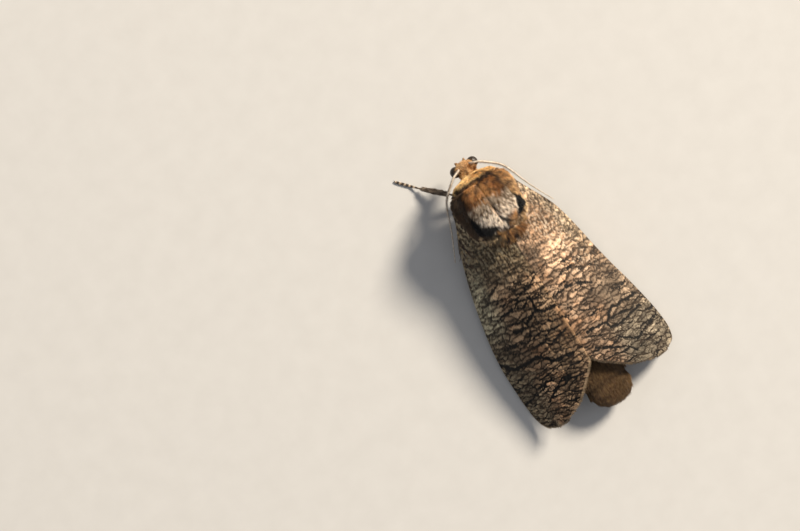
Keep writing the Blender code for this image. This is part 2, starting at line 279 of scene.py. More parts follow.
def give_out(tree, geometry, finish):
    """Puts the material on and hands the geometry out of the tree."""
    done = add_node(tree, "GeometryNodeSetMaterial", {"Geometry": geometry, "Material": finish})
    add_node(tree, "NodeGroupOutput", {"Geometry": done.outputs["Geometry"]})
    return tree


def new_object(name, mesh):
    """An object in the scene, at the origin."""
    obj = bpy.data.objects.new(name, mesh)
    bpy.context.scene.collection.objects.link(obj)
    return obj


def mesh_of(name, points, faces, material=None, smooth=True):
    """A mesh from an array of points in metres and arrays of faces with the same number of corners each."""
    mesh = bpy.data.meshes.new(name)
    mesh.from_pydata(points.tolist(), [], np.asarray(faces).tolist())
    if material:
        mesh.materials.append(material)
    if smooth:
        mesh.shade_smooth()
    return mesh


def points_of(mesh):
    """The places of a mesh's vertices as an array, in metres."""
    co = np.empty(len(mesh.vertices) * 3, np.float32)
    mesh.vertices.foreach_get("co", co)
    return co.reshape(-1, 3).astype(float)


def normals_of(mesh):
    """The normals of a mesh's vertices as an array."""
    normals = np.empty(len(mesh.vertices) * 3, np.float32)
    mesh.vertex_normals.foreach_get("vector", normals)
    return normals.reshape(-1, 3).astype(float)


def set_points(mesh, points):
    """Moves a mesh's vertices."""
    mesh.vertices.foreach_set("co", points.astype(np.float32).ravel())
    mesh.update()


def store(mesh, name, values, kind="FLOAT"):
    """Keeps one value, vector or colour for each vertex as a named attribute."""
    attribute = mesh.attributes.get(name) or mesh.attributes.new(name, kind, "POINT")
    values = np.asarray(values, np.float32)
    if kind == "FLOAT_COLOR":
        values = np.concatenate([values, np.ones((len(values), 1), np.float32)], 1)
    key = {"FLOAT": "value", "FLOAT_VECTOR": "vector", "FLOAT_COLOR": "color"}[kind]
    attribute.data.foreach_set(key, values.ravel())


def plain_mesh(obj, name):
    """The evaluated object as a new plain mesh object; the old one goes."""
    graph = bpy.context.evaluated_depsgraph_get()
    mesh = bpy.data.meshes.new_from_object(obj.evaluated_get(graph))
    bpy.data.objects.remove(obj)
    mesh.name = name
    return new_object(name, mesh)


def dress(obj, slot, *nodes):
    """Rides on the moth and stands for CAD nodes, which it hides; the slot is not used."""
    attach(obj, "root")
    if nodes:
        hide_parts(*nodes)
    return obj


# ---- finishes ------------------------------------------------------------------------------------------

BUMP_STRENGTH = 0.6


def new_material(name, sockets):
    """A node material with some of its shader's sockets set; also its tree and the shader."""
    material = bpy.data.materials.new(name)
    material.use_nodes = True
    shader = material.node_tree.nodes["Principled BSDF"]
    for socket, value in sockets.items():
        shader.inputs[socket].default_value = value
    return material, material.node_tree, shader


def own_noise(tree, grain, detail):
    """A noise on the piece's own coordinates, with grain bumps to a metre."""
    spot = add_node(tree, "ShaderNodeTexCoord")
    inputs = {"Vector": spot.outputs["Object"], "Scale": grain, "Detail": detail}
    return add_node(tree, "ShaderNodeTexNoise", inputs).outputs["Fac"]


def add_bump(tree, shader, height, depth):
    """Roughens the shader's surface by a height from 0 to 1, depth metres deep."""
    bump = add_node(tree, "ShaderNodeBump", {"Height": height, "Distance": depth, "Strength": BUMP_STRENGTH})
    tree.links.new(bump.outputs["Normal"], shader.inputs["Normal"])


def marked_finish(name, grain, grain_depth, contrast, roughness, sheen=0.0, coat=False):
    """A finish that takes its colour from the marking attribute, with a fine grain of its own.

    On a coat the locks also differ in tone, as their tone attribute says."""
    material, tree, shader = new_material(name, {
        "Roughness": roughness, "Specular IOR Level": 0.25, "Sheen Weight": sheen, "Sheen Roughness": 0.4})
    marking = add_node(tree, "ShaderNodeAttribute", attribute_name="marking")
    noise = own_noise(tree, grain, 3.0)
    level = add_node(tree, "ShaderNodeMapRange", {
        "Value": noise, "From Min": 0.3, "From Max": 0.7, "To Min": 1 - contrast, "To Max": 1 + contrast})
    tone = level.outputs["Result"]
    if coat:
        shade = add_node(tree, "ShaderNodeAttribute", attribute_name="tone")
        tone = math_node(tree, "MULTIPLY", tone, shade.outputs["Fac"])
    colour = vector_times(tree, marking.outputs["Color"], tone)
    tree.links.new(colour, shader.inputs["Base Color"])
    add_bump(tree, shader, noise, grain_depth)
    return material


def mottled_finish(name, grain, detail, dark, pale, sockets, between=(0.0, 1.0), grain_depth=None):
    """A finish that runs from dark to pale with a noise, between two levels of it."""
    material, tree, shader = new_material(name, sockets)
    noise = own_noise(tree, grain, detail)
    ramp = add_node(tree, "ShaderNodeValToRGB", {"Fac": noise})
    for stop, level, colour in zip(ramp.color_ramp.elements, between, (dark, pale)):
        stop.position = level
        stop.color = (*colour, 1)
    tree.links.new(ramp.outputs["Color"], shader.inputs["Base Color"])
    if grain_depth:
        add_bump(tree, shader, noise, grain_depth)
    return material


def eye_finish():
    """Near-black brown under a clear gloss, paler in patches."""
    return mottled_finish("eye_facets", 1100.0, 2.0, (0.006, 0.004, 0.003), (0.040, 0.022, 0.011), {
        "Roughness": 0.30, "Specular IOR Level": 0.35, "Coat Weight": 0.25, "Coat Roughness": 0.12})


def claw_finish():
    """Dark horn, browner in patches."""
    return mottled_finish("claw_horn", 3000.0, 2.0, (0.012, 0.007, 0.004), (0.07, 0.035, 0.016), {
        "Roughness": 0.35})


def spur_finish():
    """Scaled brown spurs with pale flecks."""
    return mottled_finish("spur_scales", 5000.0, 3.0, LEG_BROWN, LEG_PALE, {"Roughness": 0.8},
                          between=(0.35, 0.7), grain_depth=0.00003)


def floor_finish():
    """Pale matt board with a barely seen grain."""
    return mottled_finish("pale_board", 300.0, 4.0, (0.58, 0.565, 0.54), (0.64, 0.625, 0.60), {
        "Roughness": 0.9})


# ---- camera, light and floor ---------------------------------------------------------------------------

CAMERA_PLACE = (15.68, 5.12, 341.1)  # (side, station, height)
CAMERA_AIM = (16.14, 7.03, 6.0)
CAMERA_LENS = 100.0
CAMERA_UP = math.radians(236.87)  # heading of the picture's upward direction over the floor
KEY_AIM = (0, 18, 4)
KEY_LIGHT = {
    "heading": 197, "tilt": 36, "distance": 1.6, "size": 0.42, "power": 46.0, "colour": (1.0, 0.90, 0.76)}
ROOM_COLOUR, ROOM_STRENGTH = (0.9, 0.93, 1.0, 1), 0.34
FLOOR_HALF = 3.0  # metres


def set_camera():
    """Straight above the back, with the head towards the upper left of the picture."""
    camera = bpy.data.objects.new("camera", bpy.data.cameras.new("camera"))
    bpy.context.scene.collection.objects.link(camera)
    camera.data.lens = CAMERA_LENS
    camera.data.clip_start = 0.005
    spot, aim = (Vector(place(*p)) for p in (CAMERA_PLACE, CAMERA_AIM))
    back = (spot - aim).normalized()
    up = Vector((math.cos(CAMERA_UP), math.sin(CAMERA_UP), 0))
    right = up.cross(back).normalized()
    up = back.cross(right)
    camera.matrix_world = Matrix.Translation(spot) @ Matrix((right, up, back)).transposed().to_4x4()
    bpy.context.scene.camera = camera


def add_light(name, aim, heading, tilt, distance, size, power, colour):
    """A soft round lamp seen from aim under a compass heading and a tilt above the floor, in degrees."""
    heading, tilt = math.radians(heading), math.radians(tilt)
    lamp = bpy.data.lights.new(name, "AREA")
    lamp.shape = "DISK"
    lamp.size = size
    lamp.energy = power
    lamp.color = colour
    obj = bpy.data.objects.new(name, lamp)
    bpy.context.scene.collection.objects.link(obj)
    ray = Vector((math.cos(heading) * math.cos(tilt), math.sin(heading) * math.cos(tilt), math.sin(tilt)))
    obj.location = Vector(aim) + ray * distance
    obj.rotation_euler = ray.to_track_quat("Z", "Y").to_euler()


def set_stage():
    """A pale floor, a warm soft key from the moth's front right, and the even light of a pale room."""
    add_light("key", place(*KEY_AIM), **KEY_LIGHT)
    world = bpy.data.worlds.new("room")
    world.use_nodes = True
    world.node_tree.nodes["Background"].inputs["Color"].default_value = ROOM_COLOUR
    world.node_tree.nodes["Background"].inputs["Strength"].default_value = ROOM_STRENGTH
    bpy.context.scene.world = world
    corners = np.array([(-1, -1, 0), (1, -1, 0), (1, 1, 0), (-1, 1, 0)]) * FLOOR_HALF
    floor = new_object("floor", mesh_of("floor", corners, [(0, 1, 2, 3)], floor_finish(), smooth=False))
    bpy.context.scene.view_settings.view_transform = "Standard"


# ---- locks and scales, and the tree that grows them ----------------------------------------------------

BAKE_PATCH = 0.003  # how far one lock reaches over the skin's unwrap
COAT_CROWDING = 2.2  # locks tried on each square of the spacing, before those too close are dropped
COAT_NEEDS = ("coat_share", "coat_lie", "coat_length", "coat_width")  # what the tree reads on a skin
COAT_SEED, SCALES_SEED, FRINGE_SEED = 40, 70, 75


def lock_shape(name, belly, half_width, lean):
    """A small closed three-sided lock along +Z, thickest at its belly, that leans towards -Y at its tip.

    The spot attribute keeps each corner's place on the lock."""
    turns = [math.radians(a) for a in (90, 210, 330)]
    points = [(half_width * math.cos(t), half_width * 0.6 * math.sin(t) - 0.3 * lean, belly) for t in turns]
    points += [(0, 0, 0), (0, -lean, 1.0)]
    root, tip = 3, 4
    faces = [(i, (i + 1) % 3, end) for i in range(3) for end in (root, tip)]
    return shape_object(name, points, faces)


def scale_shape(name):
    """A flat fan-shaped scale along +Z: a narrow root, a wide end, and a low ridge towards +Y."""
    points = [(0, 0, 0), (-0.5, 0, 1.0), (0.5, 0, 1.0), (0, 0.3, 0.8)]
    faces = [(0, 1, 2), (0, 1, 3), (1, 2, 3), (2, 0, 3)]
    return shape_object(name, points, faces)


def shape_object(name, points, faces):
    """A template shape with its spot attribute and outward faces."""
    bm = bmesh.new()
    verts = [bm.verts.new(p) for p in points]
    for face in faces:
        bm.faces.new([verts[i] for i in face])
    bmesh.ops.recalc_face_normals(bm, faces=bm.faces)
    mesh = bpy.data.meshes.new(name)
    bm.to_mesh(mesh)
    bm.free()
    store(mesh, "spot", [(p[0], p[2] - 0.5, p[2]) for p in points], "FLOAT_VECTOR")
    return new_object(name, mesh)


def tree_inputs(tree, sockets):
    """Declares a tree's inputs and its one geometry output; returns the group input node."""
    tree.interface.new_socket("Geometry", in_out="OUTPUT", socket_type="NodeSocketGeometry")
    for name, kind in sockets:
        tree.interface.new_socket(name, in_out="INPUT", socket_type=f"NodeSocket{kind}")
    return add_node(tree, "NodeGroupInput")


def named(tree, name, kind="FLOAT"):
    """The output of a Named Attribute node."""
    node = add_node(tree, "GeometryNodeInputNamedAttribute", {"Name": name}, data_type=kind)
    return node.outputs["Attribute"]


def random_value(tree, low, high, seed, number):
    """A random number for each point; number keeps one draw apart from the next."""
    shifted = math_node(tree, "ADD", seed, float(number))
    node = add_node(tree, "FunctionNodeRandomValue", {"Seed": shifted}, data_type="FLOAT")
    for socket, value in ((node.inputs[2], low), (node.inputs[3], high)):
        if isinstance(value, bpy.types.NodeSocket):
            tree.links.new(value, socket)
        else:
            socket.default_value = value
    return node.outputs[1]


def coat_tree():
    """Spreads locks over a skin, laid along its coat_lie, and realizes them with a bake patch for each."""
    tree = new_tree("coat")
    given = tree_inputs(tree, [
        ("Skin", "Geometry"), ("Lock", "Object"), ("Spacing", "Float"), ("Ruffle", "Float"),
        ("Tone spread", "Float"), ("Seed", "Int"), ("Finish", "Material")]).outputs
    spacing, ruffle, spread, seed = (given[name] for name in ("Spacing", "Ruffle", "Tone spread", "Seed"))
    most = math_node(tree, "DIVIDE", COAT_CROWDING, math_node(tree, "MULTIPLY", spacing, spacing))
    roots = add_node(tree, "GeometryNodeDistributePointsOnFaces", {
        "Mesh": given["Skin"], "Distance Min": spacing, "Density Max": most,
        "Density Factor": named(tree, "coat_share"), "Seed": seed}, distribute_method="POISSON")
    size = random_value(tree, 0.72, 1.25, seed, 1)
    girth = random_value(tree, 0.8, 1.2, seed, 2)
    darkest = math_node(tree, "SUBTRACT", 1.0, spread)
    palest = math_node(tree, "ADD", 1.0, spread)
    toned = add_node(tree, "GeometryNodeStoreNamedAttribute", {
        "Geometry": roots.outputs["Points"], "Name": "tone",
        "Value": random_value(tree, darkest, palest, seed, 3)}, data_type="FLOAT", domain="POINT")
    back = math_node(tree, "MULTIPLY", ruffle, -1.0)
    jitter = add_node(tree, "ShaderNodeCombineXYZ", {
        axis: random_value(tree, back, ruffle, seed, number) for number, axis in enumerate("XYZ", 4)})
    lie = vector_sum(tree, named(tree, "coat_lie", "FLOAT_VECTOR"), jitter.outputs["Vector"])
    along = add_node(tree, "FunctionNodeAlignRotationToVector", {"Vector": lie}, axis="Z")
    turned = add_node(tree, "FunctionNodeAlignRotationToVector", {
        "Rotation": along.outputs["Rotation"], "Vector": roots.outputs["Normal"]}, axis="Y", pivot_axis="Z")
    length = math_node(tree, "MULTIPLY", named(tree, "coat_length"), size)
    width = math_node(tree, "MULTIPLY", named(tree, "coat_width"), girth)
    scale = add_node(tree, "ShaderNodeCombineXYZ", {"X": width, "Y": width, "Z": length})
    lock = add_node(tree, "GeometryNodeObjectInfo", {"Object": given["Lock"]})
    grown = add_node(tree, "GeometryNodeInstanceOnPoints", {
        "Points": toned.outputs["Geometry"], "Instance": lock.outputs["Geometry"],
        "Rotation": turned.outputs["Rotation"], "Scale": scale.outputs["Vector"]})
    real = add_node(tree, "GeometryNodeRealizeInstances", {"Geometry": grown.outputs["Instances"]})
    patch = vector_times(tree, named(tree, "spot", "FLOAT_VECTOR"), BAKE_PATCH)
    bake = vector_sum(tree, named(tree, "unwrap", "FLOAT_VECTOR"), patch)
    mapped = add_node(tree, "GeometryNodeStoreNamedAttribute", {
        "Geometry": real.outputs["Geometry"], "Name": "OFBake", "Value": bake},
        data_type="FLOAT2", domain="CORNER")
    return give_out(tree, mapped.outputs["Geometry"], given["Finish"])


def socket_id(tree, name):
    """The identifier of a tree's input socket."""
    return next(item.identifier for item in tree.interface.items_tree
                if item.name == name and item.in_out == "INPUT")


def remove_attributes(mesh, names):
    """Takes helper attributes off a finished mesh."""
    for name in names:
        if name in mesh.attributes:
            mesh.attributes.remove(mesh.attributes[name])


def run_tree(name, host_mesh, tree, values):
    """Runs a Geometry Nodes tree on a mesh and returns the result as a plain object."""
    obj = new_object(name, host_mesh)
    modifier = obj.modifiers.new("grow", "NODES")
    modifier.node_group = tree
    for key, value in values.items():
        modifier[socket_id(tree, key)] = value
    return plain_mesh(obj, name)


def grow_coat(name, host, share, lock, spacing, ruffle, tones, seed, material):
    """A coat piece on the host mesh, as dense as share says from 0 to 1.

    The locks stand a spacing apart in millimetres, lean about by ruffle and differ in tone by tones."""
    store(host, "coat_share", np.clip(share, 0, 1))
    coat = run_tree(name, host, COAT_TREE, {
        "Lock": lock, "Spacing": spacing * MM, "Ruffle": ruffle, "Tone spread": tones, "Seed": seed,
        "Finish": material})
    keep_bake_map_aside(coat.data)
    remove_attributes(coat.data, (*COAT_NEEDS, "unwrap"))
    return coat


def keep_bake_map_aside(mesh):
    """Gives the mesh a map of its own to show by default, in place of the bake patches."""
    own = mesh.uv_layers.new(name="own")
    own.active_render = True
    mesh.uv_layers.active = own


# ---- the skin over head, thorax, abdomen and legs ------------------------------------------------------

SKIN_VOXEL = 0.158
BRIDGE = 0.26  # how far the solids swell so that they grow together across their gaps
NECK_CENTRE, NECK_HALF_SIZE = (0.0, 1.25, 6.75), (1.85, 0.95, 1.75)
LEG_PIECES = ("coxa", "femur", "tibia", "tarsus")
LEG_NAMES = [f"leg_{pair}_{side}" for pair in ("fore", "mid", "hind") for side in SIDES]
REGIONS = {
    "head": ["head"],
    "palp": ["palp_left", "palp_right"],
    "thorax": ["collar", "thorax", "metathorax", "tegula_left", "tegula_right"],
    "abdomen": [f"abdomen_{n}" for n in range(1, 8)],
}
for piece in LEG_PIECES:
    REGIONS[piece] = [f"{leg}_{piece}" for leg in LEG_NAMES]
COAT_DEPTH = {  # how far the skin lies under the solids' surface
    "head": 0.25, "palp": 0.15, "thorax": 0.42, "abdomen": 0.42,
    "coxa": 0.10, "femur": 0.10, "tibia": 0.06, "tarsus": 0.04,
}
HAIR_LENGTH = {
    "head": 0.50, "palp": 0.18, "thorax": 0.62, "abdomen": 0.85,
    "coxa": 0.6, "femur": 0.6, "tibia": 0.62, "tarsus": 0.2,
}
HAIR_WIDTH = {
    "head": 0.062, "palp": 0.058, "thorax": 0.082, "abdomen": 0.095,
    "coxa": 0.09, "femur": 0.085, "tibia": 0.085, "tarsus": 0.07,
}
REGION_BLUR = 0.25  # over how many millimetres one region of the skin passes into the next
FLOOR_GAP = 0.01  # how far hairs and claws keep above the floor
EYE_RADIUS = (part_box("eye_left")[1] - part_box("eye_left")[0]).x / 2 / MM


def merged_copy(node):
    """A CAD node's mesh as a bmesh with its loose triangles merged; the head's without its eye sockets."""
    bm = bmesh.new()
    bm.from_mesh(frame["nodes"][node].data)
    bmesh.ops.remove_doubles(bm, verts=bm.verts, dist=1e-6)
    if node == "head":
        hull = bmesh.ops.convex_hull(bm, input=bm.verts)
        bmesh.ops.delete(bm, geom=hull["geom_interior"] + hull["geom_unused"], context="VERTS")
        bmesh.ops.recalc_face_normals(bm, faces=bm.faces)
    bm.normal_update()
    return bm


def swollen_solids():
    """The flesh nodes in one mesh, each swollen across the gaps, and a neck between head and collar."""
    joined = bmesh.new()
    neck = Matrix.Translation(place(*NECK_CENTRE)) @ Matrix.Diagonal((*(Vector(NECK_HALF_SIZE) * MM), 1.0))
    bmesh.ops.create_icosphere(joined, subdivisions=4, radius=1.0, matrix=neck)
    for nodes in REGIONS.values():
        for node in nodes:
            bm = merged_copy(node)
            for vert in bm.verts:
                vert.co += vert.normal * BRIDGE * MM
            mesh = bpy.data.meshes.new(node)
            bm.to_mesh(mesh)
            bm.free()
            joined.from_mesh(mesh)
            bpy.data.meshes.remove(mesh)
    mesh = bpy.data.meshes.new("skin")
    joined.to_mesh(mesh)
    joined.free()
    return mesh


def smooth_out(mesh, rounds):
    """Evens the surface out a little."""
    bm = bmesh.new()
    bm.from_mesh(mesh)
    for _ in range(rounds):
        bmesh.ops.smooth_vert(
            bm, verts=bm.verts, factor=0.5, use_axis_x=True, use_axis_y=True, use_axis_z=True)
    bm.to_mesh(mesh)
    bm.free()


def region_shares(points):
    """For each region, how much each point belongs to it, from 0 to 1."""
    distances = {}
    for region, nodes in REGIONS.items():
        joined = bmesh.new()
        for node in nodes:
            joined.from_mesh(frame["nodes"][node].data)
        bvh = BVHTree.FromBMesh(joined)
        joined.free()
        distances[region] = np.array([bvh.find_nearest(p)[3] for p in points.tolist()]) / MM
    closeness = {region: hump(distance, REGION_BLUR) + 1e-9 for region, distance in distances.items()}
    total = sum(closeness.values())
    return {region: value / total for region, value in closeness.items()}


def build_skin_mesh():
    """The skin: the solids grown together, drawn in by the coat's depth and shaped a little further."""
    rough = new_object("skin", swollen_solids())
    remesh = rough.modifiers.new("grow_together", "REMESH")
    remesh.mode = "VOXEL"
    remesh.voxel_size = SKIN_VOXEL * MM
    skin = plain_mesh(rough, "skin").data
    smooth_out(skin, 3)
    points = points_of(skin)
    shares = region_shares(points)
    depth = sum(shares[region] * COAT_DEPTH[region] for region in REGIONS) + BRIDGE
    set_points(skin, points - normals_of(skin) * depth[:, None] * MM)
    smooth_out(skin, 2)
    points = points_of(skin)
    points += normals_of(skin) * body_relief(points, shares)[:, None] * MM
    points[:, 2] = np.maximum(points[:, 2], 0.0)
    set_points(skin, points)
    skin.shade_smooth()
    return skin, shares


def groove_side(station):
    """Where the groove down the back runs; it slants a little to the right."""
    return through([(2.5, 0.12), (5.0, -0.08), (10.5, -0.26)], station)


def body_relief(points, shares):
    """Folds of the skin under the coat, in millimetres: groove, domes, collar, shoulders and hollows."""
    side, station, height = terms(points)
    off = np.abs(side)
    top = ease(7.0, 10.0, height) * shares["thorax"]
    groove = -0.50 * hump(side - groove_side(station), 0.30) * band(2.9, 9.8, 0.5, station)
    domes = 0.42 * np.exp(-(((off - 1.55) / 1.15) ** 2 + ((station - 4.5) / 1.25) ** 2))
    crest = 0.16 * hump(station - 2.05, 0.35)
    step = -0.36 * hump(station - 2.75, 0.24)
    hollow = -0.40 * hump(station - 11.3, 0.6) * ease(3.5, 1.5, off)
    rims = -0.22 * hump(off - disc_edge(station), 0.22) * band(3.4, 8.0, 0.5, station)
    shoulders = 0.26 * hump(station - 4.0, 1.9) * ease(2.8, 4.2, off) * shares["thorax"]
    return top * (groove + domes + crest + step + hollow + rims) + shoulders


def disc_edge(station):
    """How far from the midline the disc of the back meets the shoulder flaps."""
    return through([(2.7, 2.75), (4.5, 3.05), (5.6, 3.35), (6.8, 3.6), (7.8, 4.05), (8.7, 4.25),
                    (9.6, 3.85), (10.3, 3.05), (10.8, 1.9), (11.2, 0.4)], station)


def leg_axes():
    """For each leg piece, its ends in metres, from the hip to the claw."""
    axes = {}
    for leg in LEG_NAMES:
        root = middle(f"{leg}_coxa") + Vector((0, 0, 5 * MM))
        for piece in LEG_PIECES:
            points = points_of(frame["nodes"][f"{leg}_{piece}"].data)
            centre = points.mean(0)
            axis = np.linalg.svd(points - centre, full_matrices=False)[2][0]
            reach = (points - centre) @ axis
            far = points[reach > reach.max() - 0.1 * MM].mean(0)
            near = points[reach < reach.min() + 0.1 * MM].mean(0)
            ends = sorted((far, near), key=lambda end: (Vector(end) - root).length)
            axes[f"{leg}_{piece}"] = (ends[0], ends[1])
            root = Vector(ends[1])
    return axes


# ---- markings of the body ------------------------------------------------------------------------------

CREAM, AMBER, ORANGE_BROWN = (0.86, 0.58, 0.25), (0.58, 0.30, 0.105), (0.32, 0.13, 0.040)
ASH, CHALK, SOOT = (0.37, 0.285, 0.20), (0.92, 0.80, 0.66), (0.008, 0.0075, 0.0075)
BARK_BROWN, DARK_BROWN = (0.10, 0.052, 0.025), (0.030, 0.017, 0.010)
TAN, DRAB = (0.56, 0.345, 0.19), (0.075, 0.052, 0.034)
# The flaps' tan and brown are lit and shaded copies of one colour: painted light on the right, painted shade
# on the left.
FLAP_LIT_TAN, FLAP_SHADED_BROWN, FRINGE_CREAM = (0.42, 0.25, 0.125), (0.085, 0.055, 0.033), (0.72, 0.52, 0.30)
# SHADED_OLIVE is an olive brown darkened as painted shade, for the left side.
FUZZ_GOLD, FACE_BROWN, SHADED_OLIVE = (0.135, 0.078, 0.032), (0.60, 0.36, 0.17), (0.075, 0.055, 0.030)
LEG_BROWN, LEG_PALE = (0.12, 0.085, 0.060), (0.34, 0.265, 0.19)
FOOT_DARK, FOOT_PALE = (0.05, 0.036, 0.026), (0.60, 0.47, 0.34)
FIRST_RING, RING_PITCH = 14.15, 4.09  # the station where a ring of the abdomen starts, and its length

CRESCENTS = {  # the two black marks, as strokes through (distance from the midline, station, half-width)
    "left": ((3.35, 6.7, 0.05), (3.42, 7.5, 0.36), (3.38, 8.5, 0.50), (2.95, 9.45, 0.72), (2.1, 10.05, 0.66),
             (1.3, 10.25, 0.48), (0.7, 10.2, 0.12)),
    "right": ((3.9, 7.35, 0.08), (4.15, 8.1, 0.44), (4.12, 8.9, 0.62), (3.7, 9.5, 0.50), (3.05, 9.95, 0.38),
              (2.55, 10.05, 0.08)),
}
REAR_FRINGE = {  # the pale torn fringe behind them, as lines through (distance from the midline, station)
    # the left line starts further back; its outer end is left off as painted shade
    "left": ((3.9, 10.3), (3.5, 10.9), (2.7, 11.4), (1.9, 11.6)),
    "right": ((4.5, 8.4), (4.45, 9.6), (3.7, 10.5), (2.7, 10.9), (1.4, 11.0)),
}
REAR_BLOT = (  # a black blot beside the end of the groove, as a stroke through (side, station, half-width)
    (-0.35, 9.0, 0.05), (-0.55, 9.5, 0.30), (-0.95, 10.1, 0.42), (-0.80, 10.7, 0.28), (-0.5, 11.1, 0.08),
)


def thorax_marking(side, station, height):
    """Colours of the thorax: flaps, disc, the fuzz behind it, fringe, crescents, collar and groove."""
    off = np.abs(side)
    wander = 0.14 * layered_noise(side * 1.8, station * 1.8, seed=11)
    wander = wander + 0.09 * soft_noise(side * 5, station * 5, seed=18)
    streak = layered_noise(side * 4.5, station * 1.6, seed=12)
    mottle = layered_noise(side * 1.9, station * 1.9, seed=13)
    speckle = soft_noise(side * 5.5, station * 5.5, seed=16)
    fleck = soft_noise(side * 3.3, station * 3.3, seed=19)
    beyond = 0.55 * ease(0.5, 1.5, side) * ease(7.2, 8.2, station)
    inside = ease(0.07, -0.07, off - disc_edge(station) + beyond + wander) * band(2.75, 11.1, 0.05, station)
    flap = flap_marking(side, station, mottle, speckle, fleck)
    disc = disc_marking(side, station, wander, streak, mottle, speckle, fleck)
    colour = mix(flap, disc, inside)
    border = hump(off - disc_edge(station) + wander, 0.13) * band(3.3, 7.9, 0.4, station)
    colour = mix(colour, DARK_BROWN, 0.9 * border)
    meta = mix(ORANGE_BROWN, FUZZ_GOLD, 0.4 + 0.6 * ease(-0.4, 0.3, mottle))
    meta = mix(meta, AMBER, 0.5 * ease(0.1, 0.5, fleck))
    meta = mix(meta, DARK_BROWN, ease(-0.05, 0.3, soft_noise(side * 1.5, station * 1.5, seed=14)))
    # dark olive on the left side only: olive brown darkened as painted shade
    meta = mix(meta, SHADED_OLIVE, 0.9 * ease(0.9, 1.7, side + 0.4 * mottle))
    behind = ease(10.7, 11.3, station + 2.2 * wander + 0.5 * fleck + 0.25 * off)
    colour = mix(colour, meta, behind * ease(3.6, 2.4, off + 0.5 * mottle))
    rear = line_distance(side, station, REAR_FRINGE["left"])
    rear = np.minimum(rear, line_distance(-side, station, REAR_FRINGE["right"]))
    torn = ease(-0.45, 0.25, fleck + 0.5 * speckle)
    colour = mix(colour, FRINGE_CREAM, 0.95 * torn * ease(0.36, 0.16, rear + 1.3 * wander))
    for name, path in CRESCENTS.items():
        outside = stroke_distance(side * SIDES[name], station, path)
        colour = mix(colour, SOOT, ease(0.09, -0.09, outside + 1.5 * wander))
    colour = with_collar(colour, side, station, height, speckle, fleck)
    beside = hump(side - groove_side(station) - 0.32, 0.16) * band(3.4, 8.5, 0.5, station)
    colour = mix(colour, TAN, 0.5 * beside)
    groove = hump(side - groove_side(station), 0.12) * band(3.0, 9.3, 0.4, station)
    colour = mix(colour, DARK_BROWN, 0.92 * groove)
    return mix(colour, DRAB, 0.7 * ease(6.8, 5.0, height))


def flap_marking(side, station, mottle, speckle, fleck):
    """The shoulder flaps: tan with cream flecks on the right, browner on the left; the right is painted lit
    and the left painted shade.
    """
    # left flap darker than the right: painted shade
    colour = mix(FLAP_LIT_TAN, FLAP_SHADED_BROWN, ease(-2.5, 1.5, side))
    colour = mix(colour, AMBER, 0.7 * ease(7.0, 3.5, station + 1.5 * mottle) * ease(-1.0, -3.0, side))
    pale = 0.55 * ease(0.15, 0.5, fleck) * ease(-1.0, -3.0, side) * ease(3.5, 6.5, station)
    colour = mix(colour, CREAM, pale)
    colour = mix(colour, BARK_BROWN, 0.7 * ease(0.05, 0.5, mottle - 0.5 * speckle))
    return mix(colour, DARK_BROWN, 0.6 * ease(0.2, 0.55, -fleck))


def disc_marking(side, station, wander, streak, mottle, speckle, fleck):
    """The disc of the back: two orange-brown domes in front, ash with chalk behind, a patch and a blot."""
    off = np.abs(side)
    white = 1.1 * ease(6.3, 9.2, station) + 0.35 * band(-1.5, 3.0, 1.0, side) * ease(7.5, 9.0, station)
    ash = mix(ASH, CHALK, ease(-0.35, 0.45, 0.8 * streak + 0.7 * speckle + 0.5 * fleck + white - 0.75))
    ash = mix(ash, BARK_BROWN, 0.9 * ease(0.0, 0.35, -0.6 * streak - 0.6 * speckle - 0.5 * fleck - 0.1))
    lit = ease(-0.1, 0.7, 0.6 * streak + 0.6 * ease(2.4, 0.8, off) + 0.4 * fleck)
    domes = mix(ORANGE_BROWN, AMBER, 0.75 * lit)
    domes = mix(domes, BARK_BROWN, 0.8 * ease(0.05, 0.5, mottle - 0.3 * fleck))
    domes = mix(domes, DARK_BROWN, 0.8 * ease(1.8, 2.9, off + 0.7 * mottle) * ease(7.0, 5.4, station))
    disc = mix(domes, ash, ease(5.35, 6.35, station + 1.8 * wander + 0.7 * streak))
    brown_patch = band(9.35, 11.0, 0.35, station + 2 * wander) * band(-2.8, -1.1, 0.35, side + wander)
    disc = mix(disc, mix(AMBER, BARK_BROWN, ease(-0.3, 0.3, mottle + 0.6 * speckle)), 0.9 * brown_patch)
    blot = stroke_distance(side, station, REAR_BLOT)
    return mix(disc, SOOT, 0.93 * ease(0.09, -0.09, blot + 1.6 * wander))


def with_collar(colour, side, station, height, speckle, fleck):
    """Adds the collar, cream on the left and amber on the right, and the dark line behind it."""
    edge = 2.40 + 0.13 * soft_noise(side * 2.2, 0 * side, seed=15)
    edge = edge + 0.07 * soft_noise(side * 6.0, 0 * side, seed=17)
    edge = edge + 0.35 * ease(2.8, 4.2, np.abs(side))
    collar = mix(CREAM, AMBER, 0.75 * ease(0.0, -4.0, side) + 0.5 * ease(0.15, 0.5, speckle + 0.5 * fleck))
    collar = mix(collar, BARK_BROWN, 0.75 * ease(0.28, 0.5, soft_noise(side * 3.0, station * 3.6, seed=20)))
    colour = mix(colour, collar, ease(edge + 0.05, edge - 0.05, station) * ease(6.0, 7.5, height))
    thick = 0.07 + 0.32 * band(-2.4, -0.3, 0.3, side) + 0.06 * speckle
    line = ease(thick + 0.05, thick - 0.05, np.abs(station - edge - thick))
    return mix(colour, DARK_BROWN, 0.95 * line * ease(4.7, 4.2, np.abs(side)) * ease(6.5, 7.5, height))


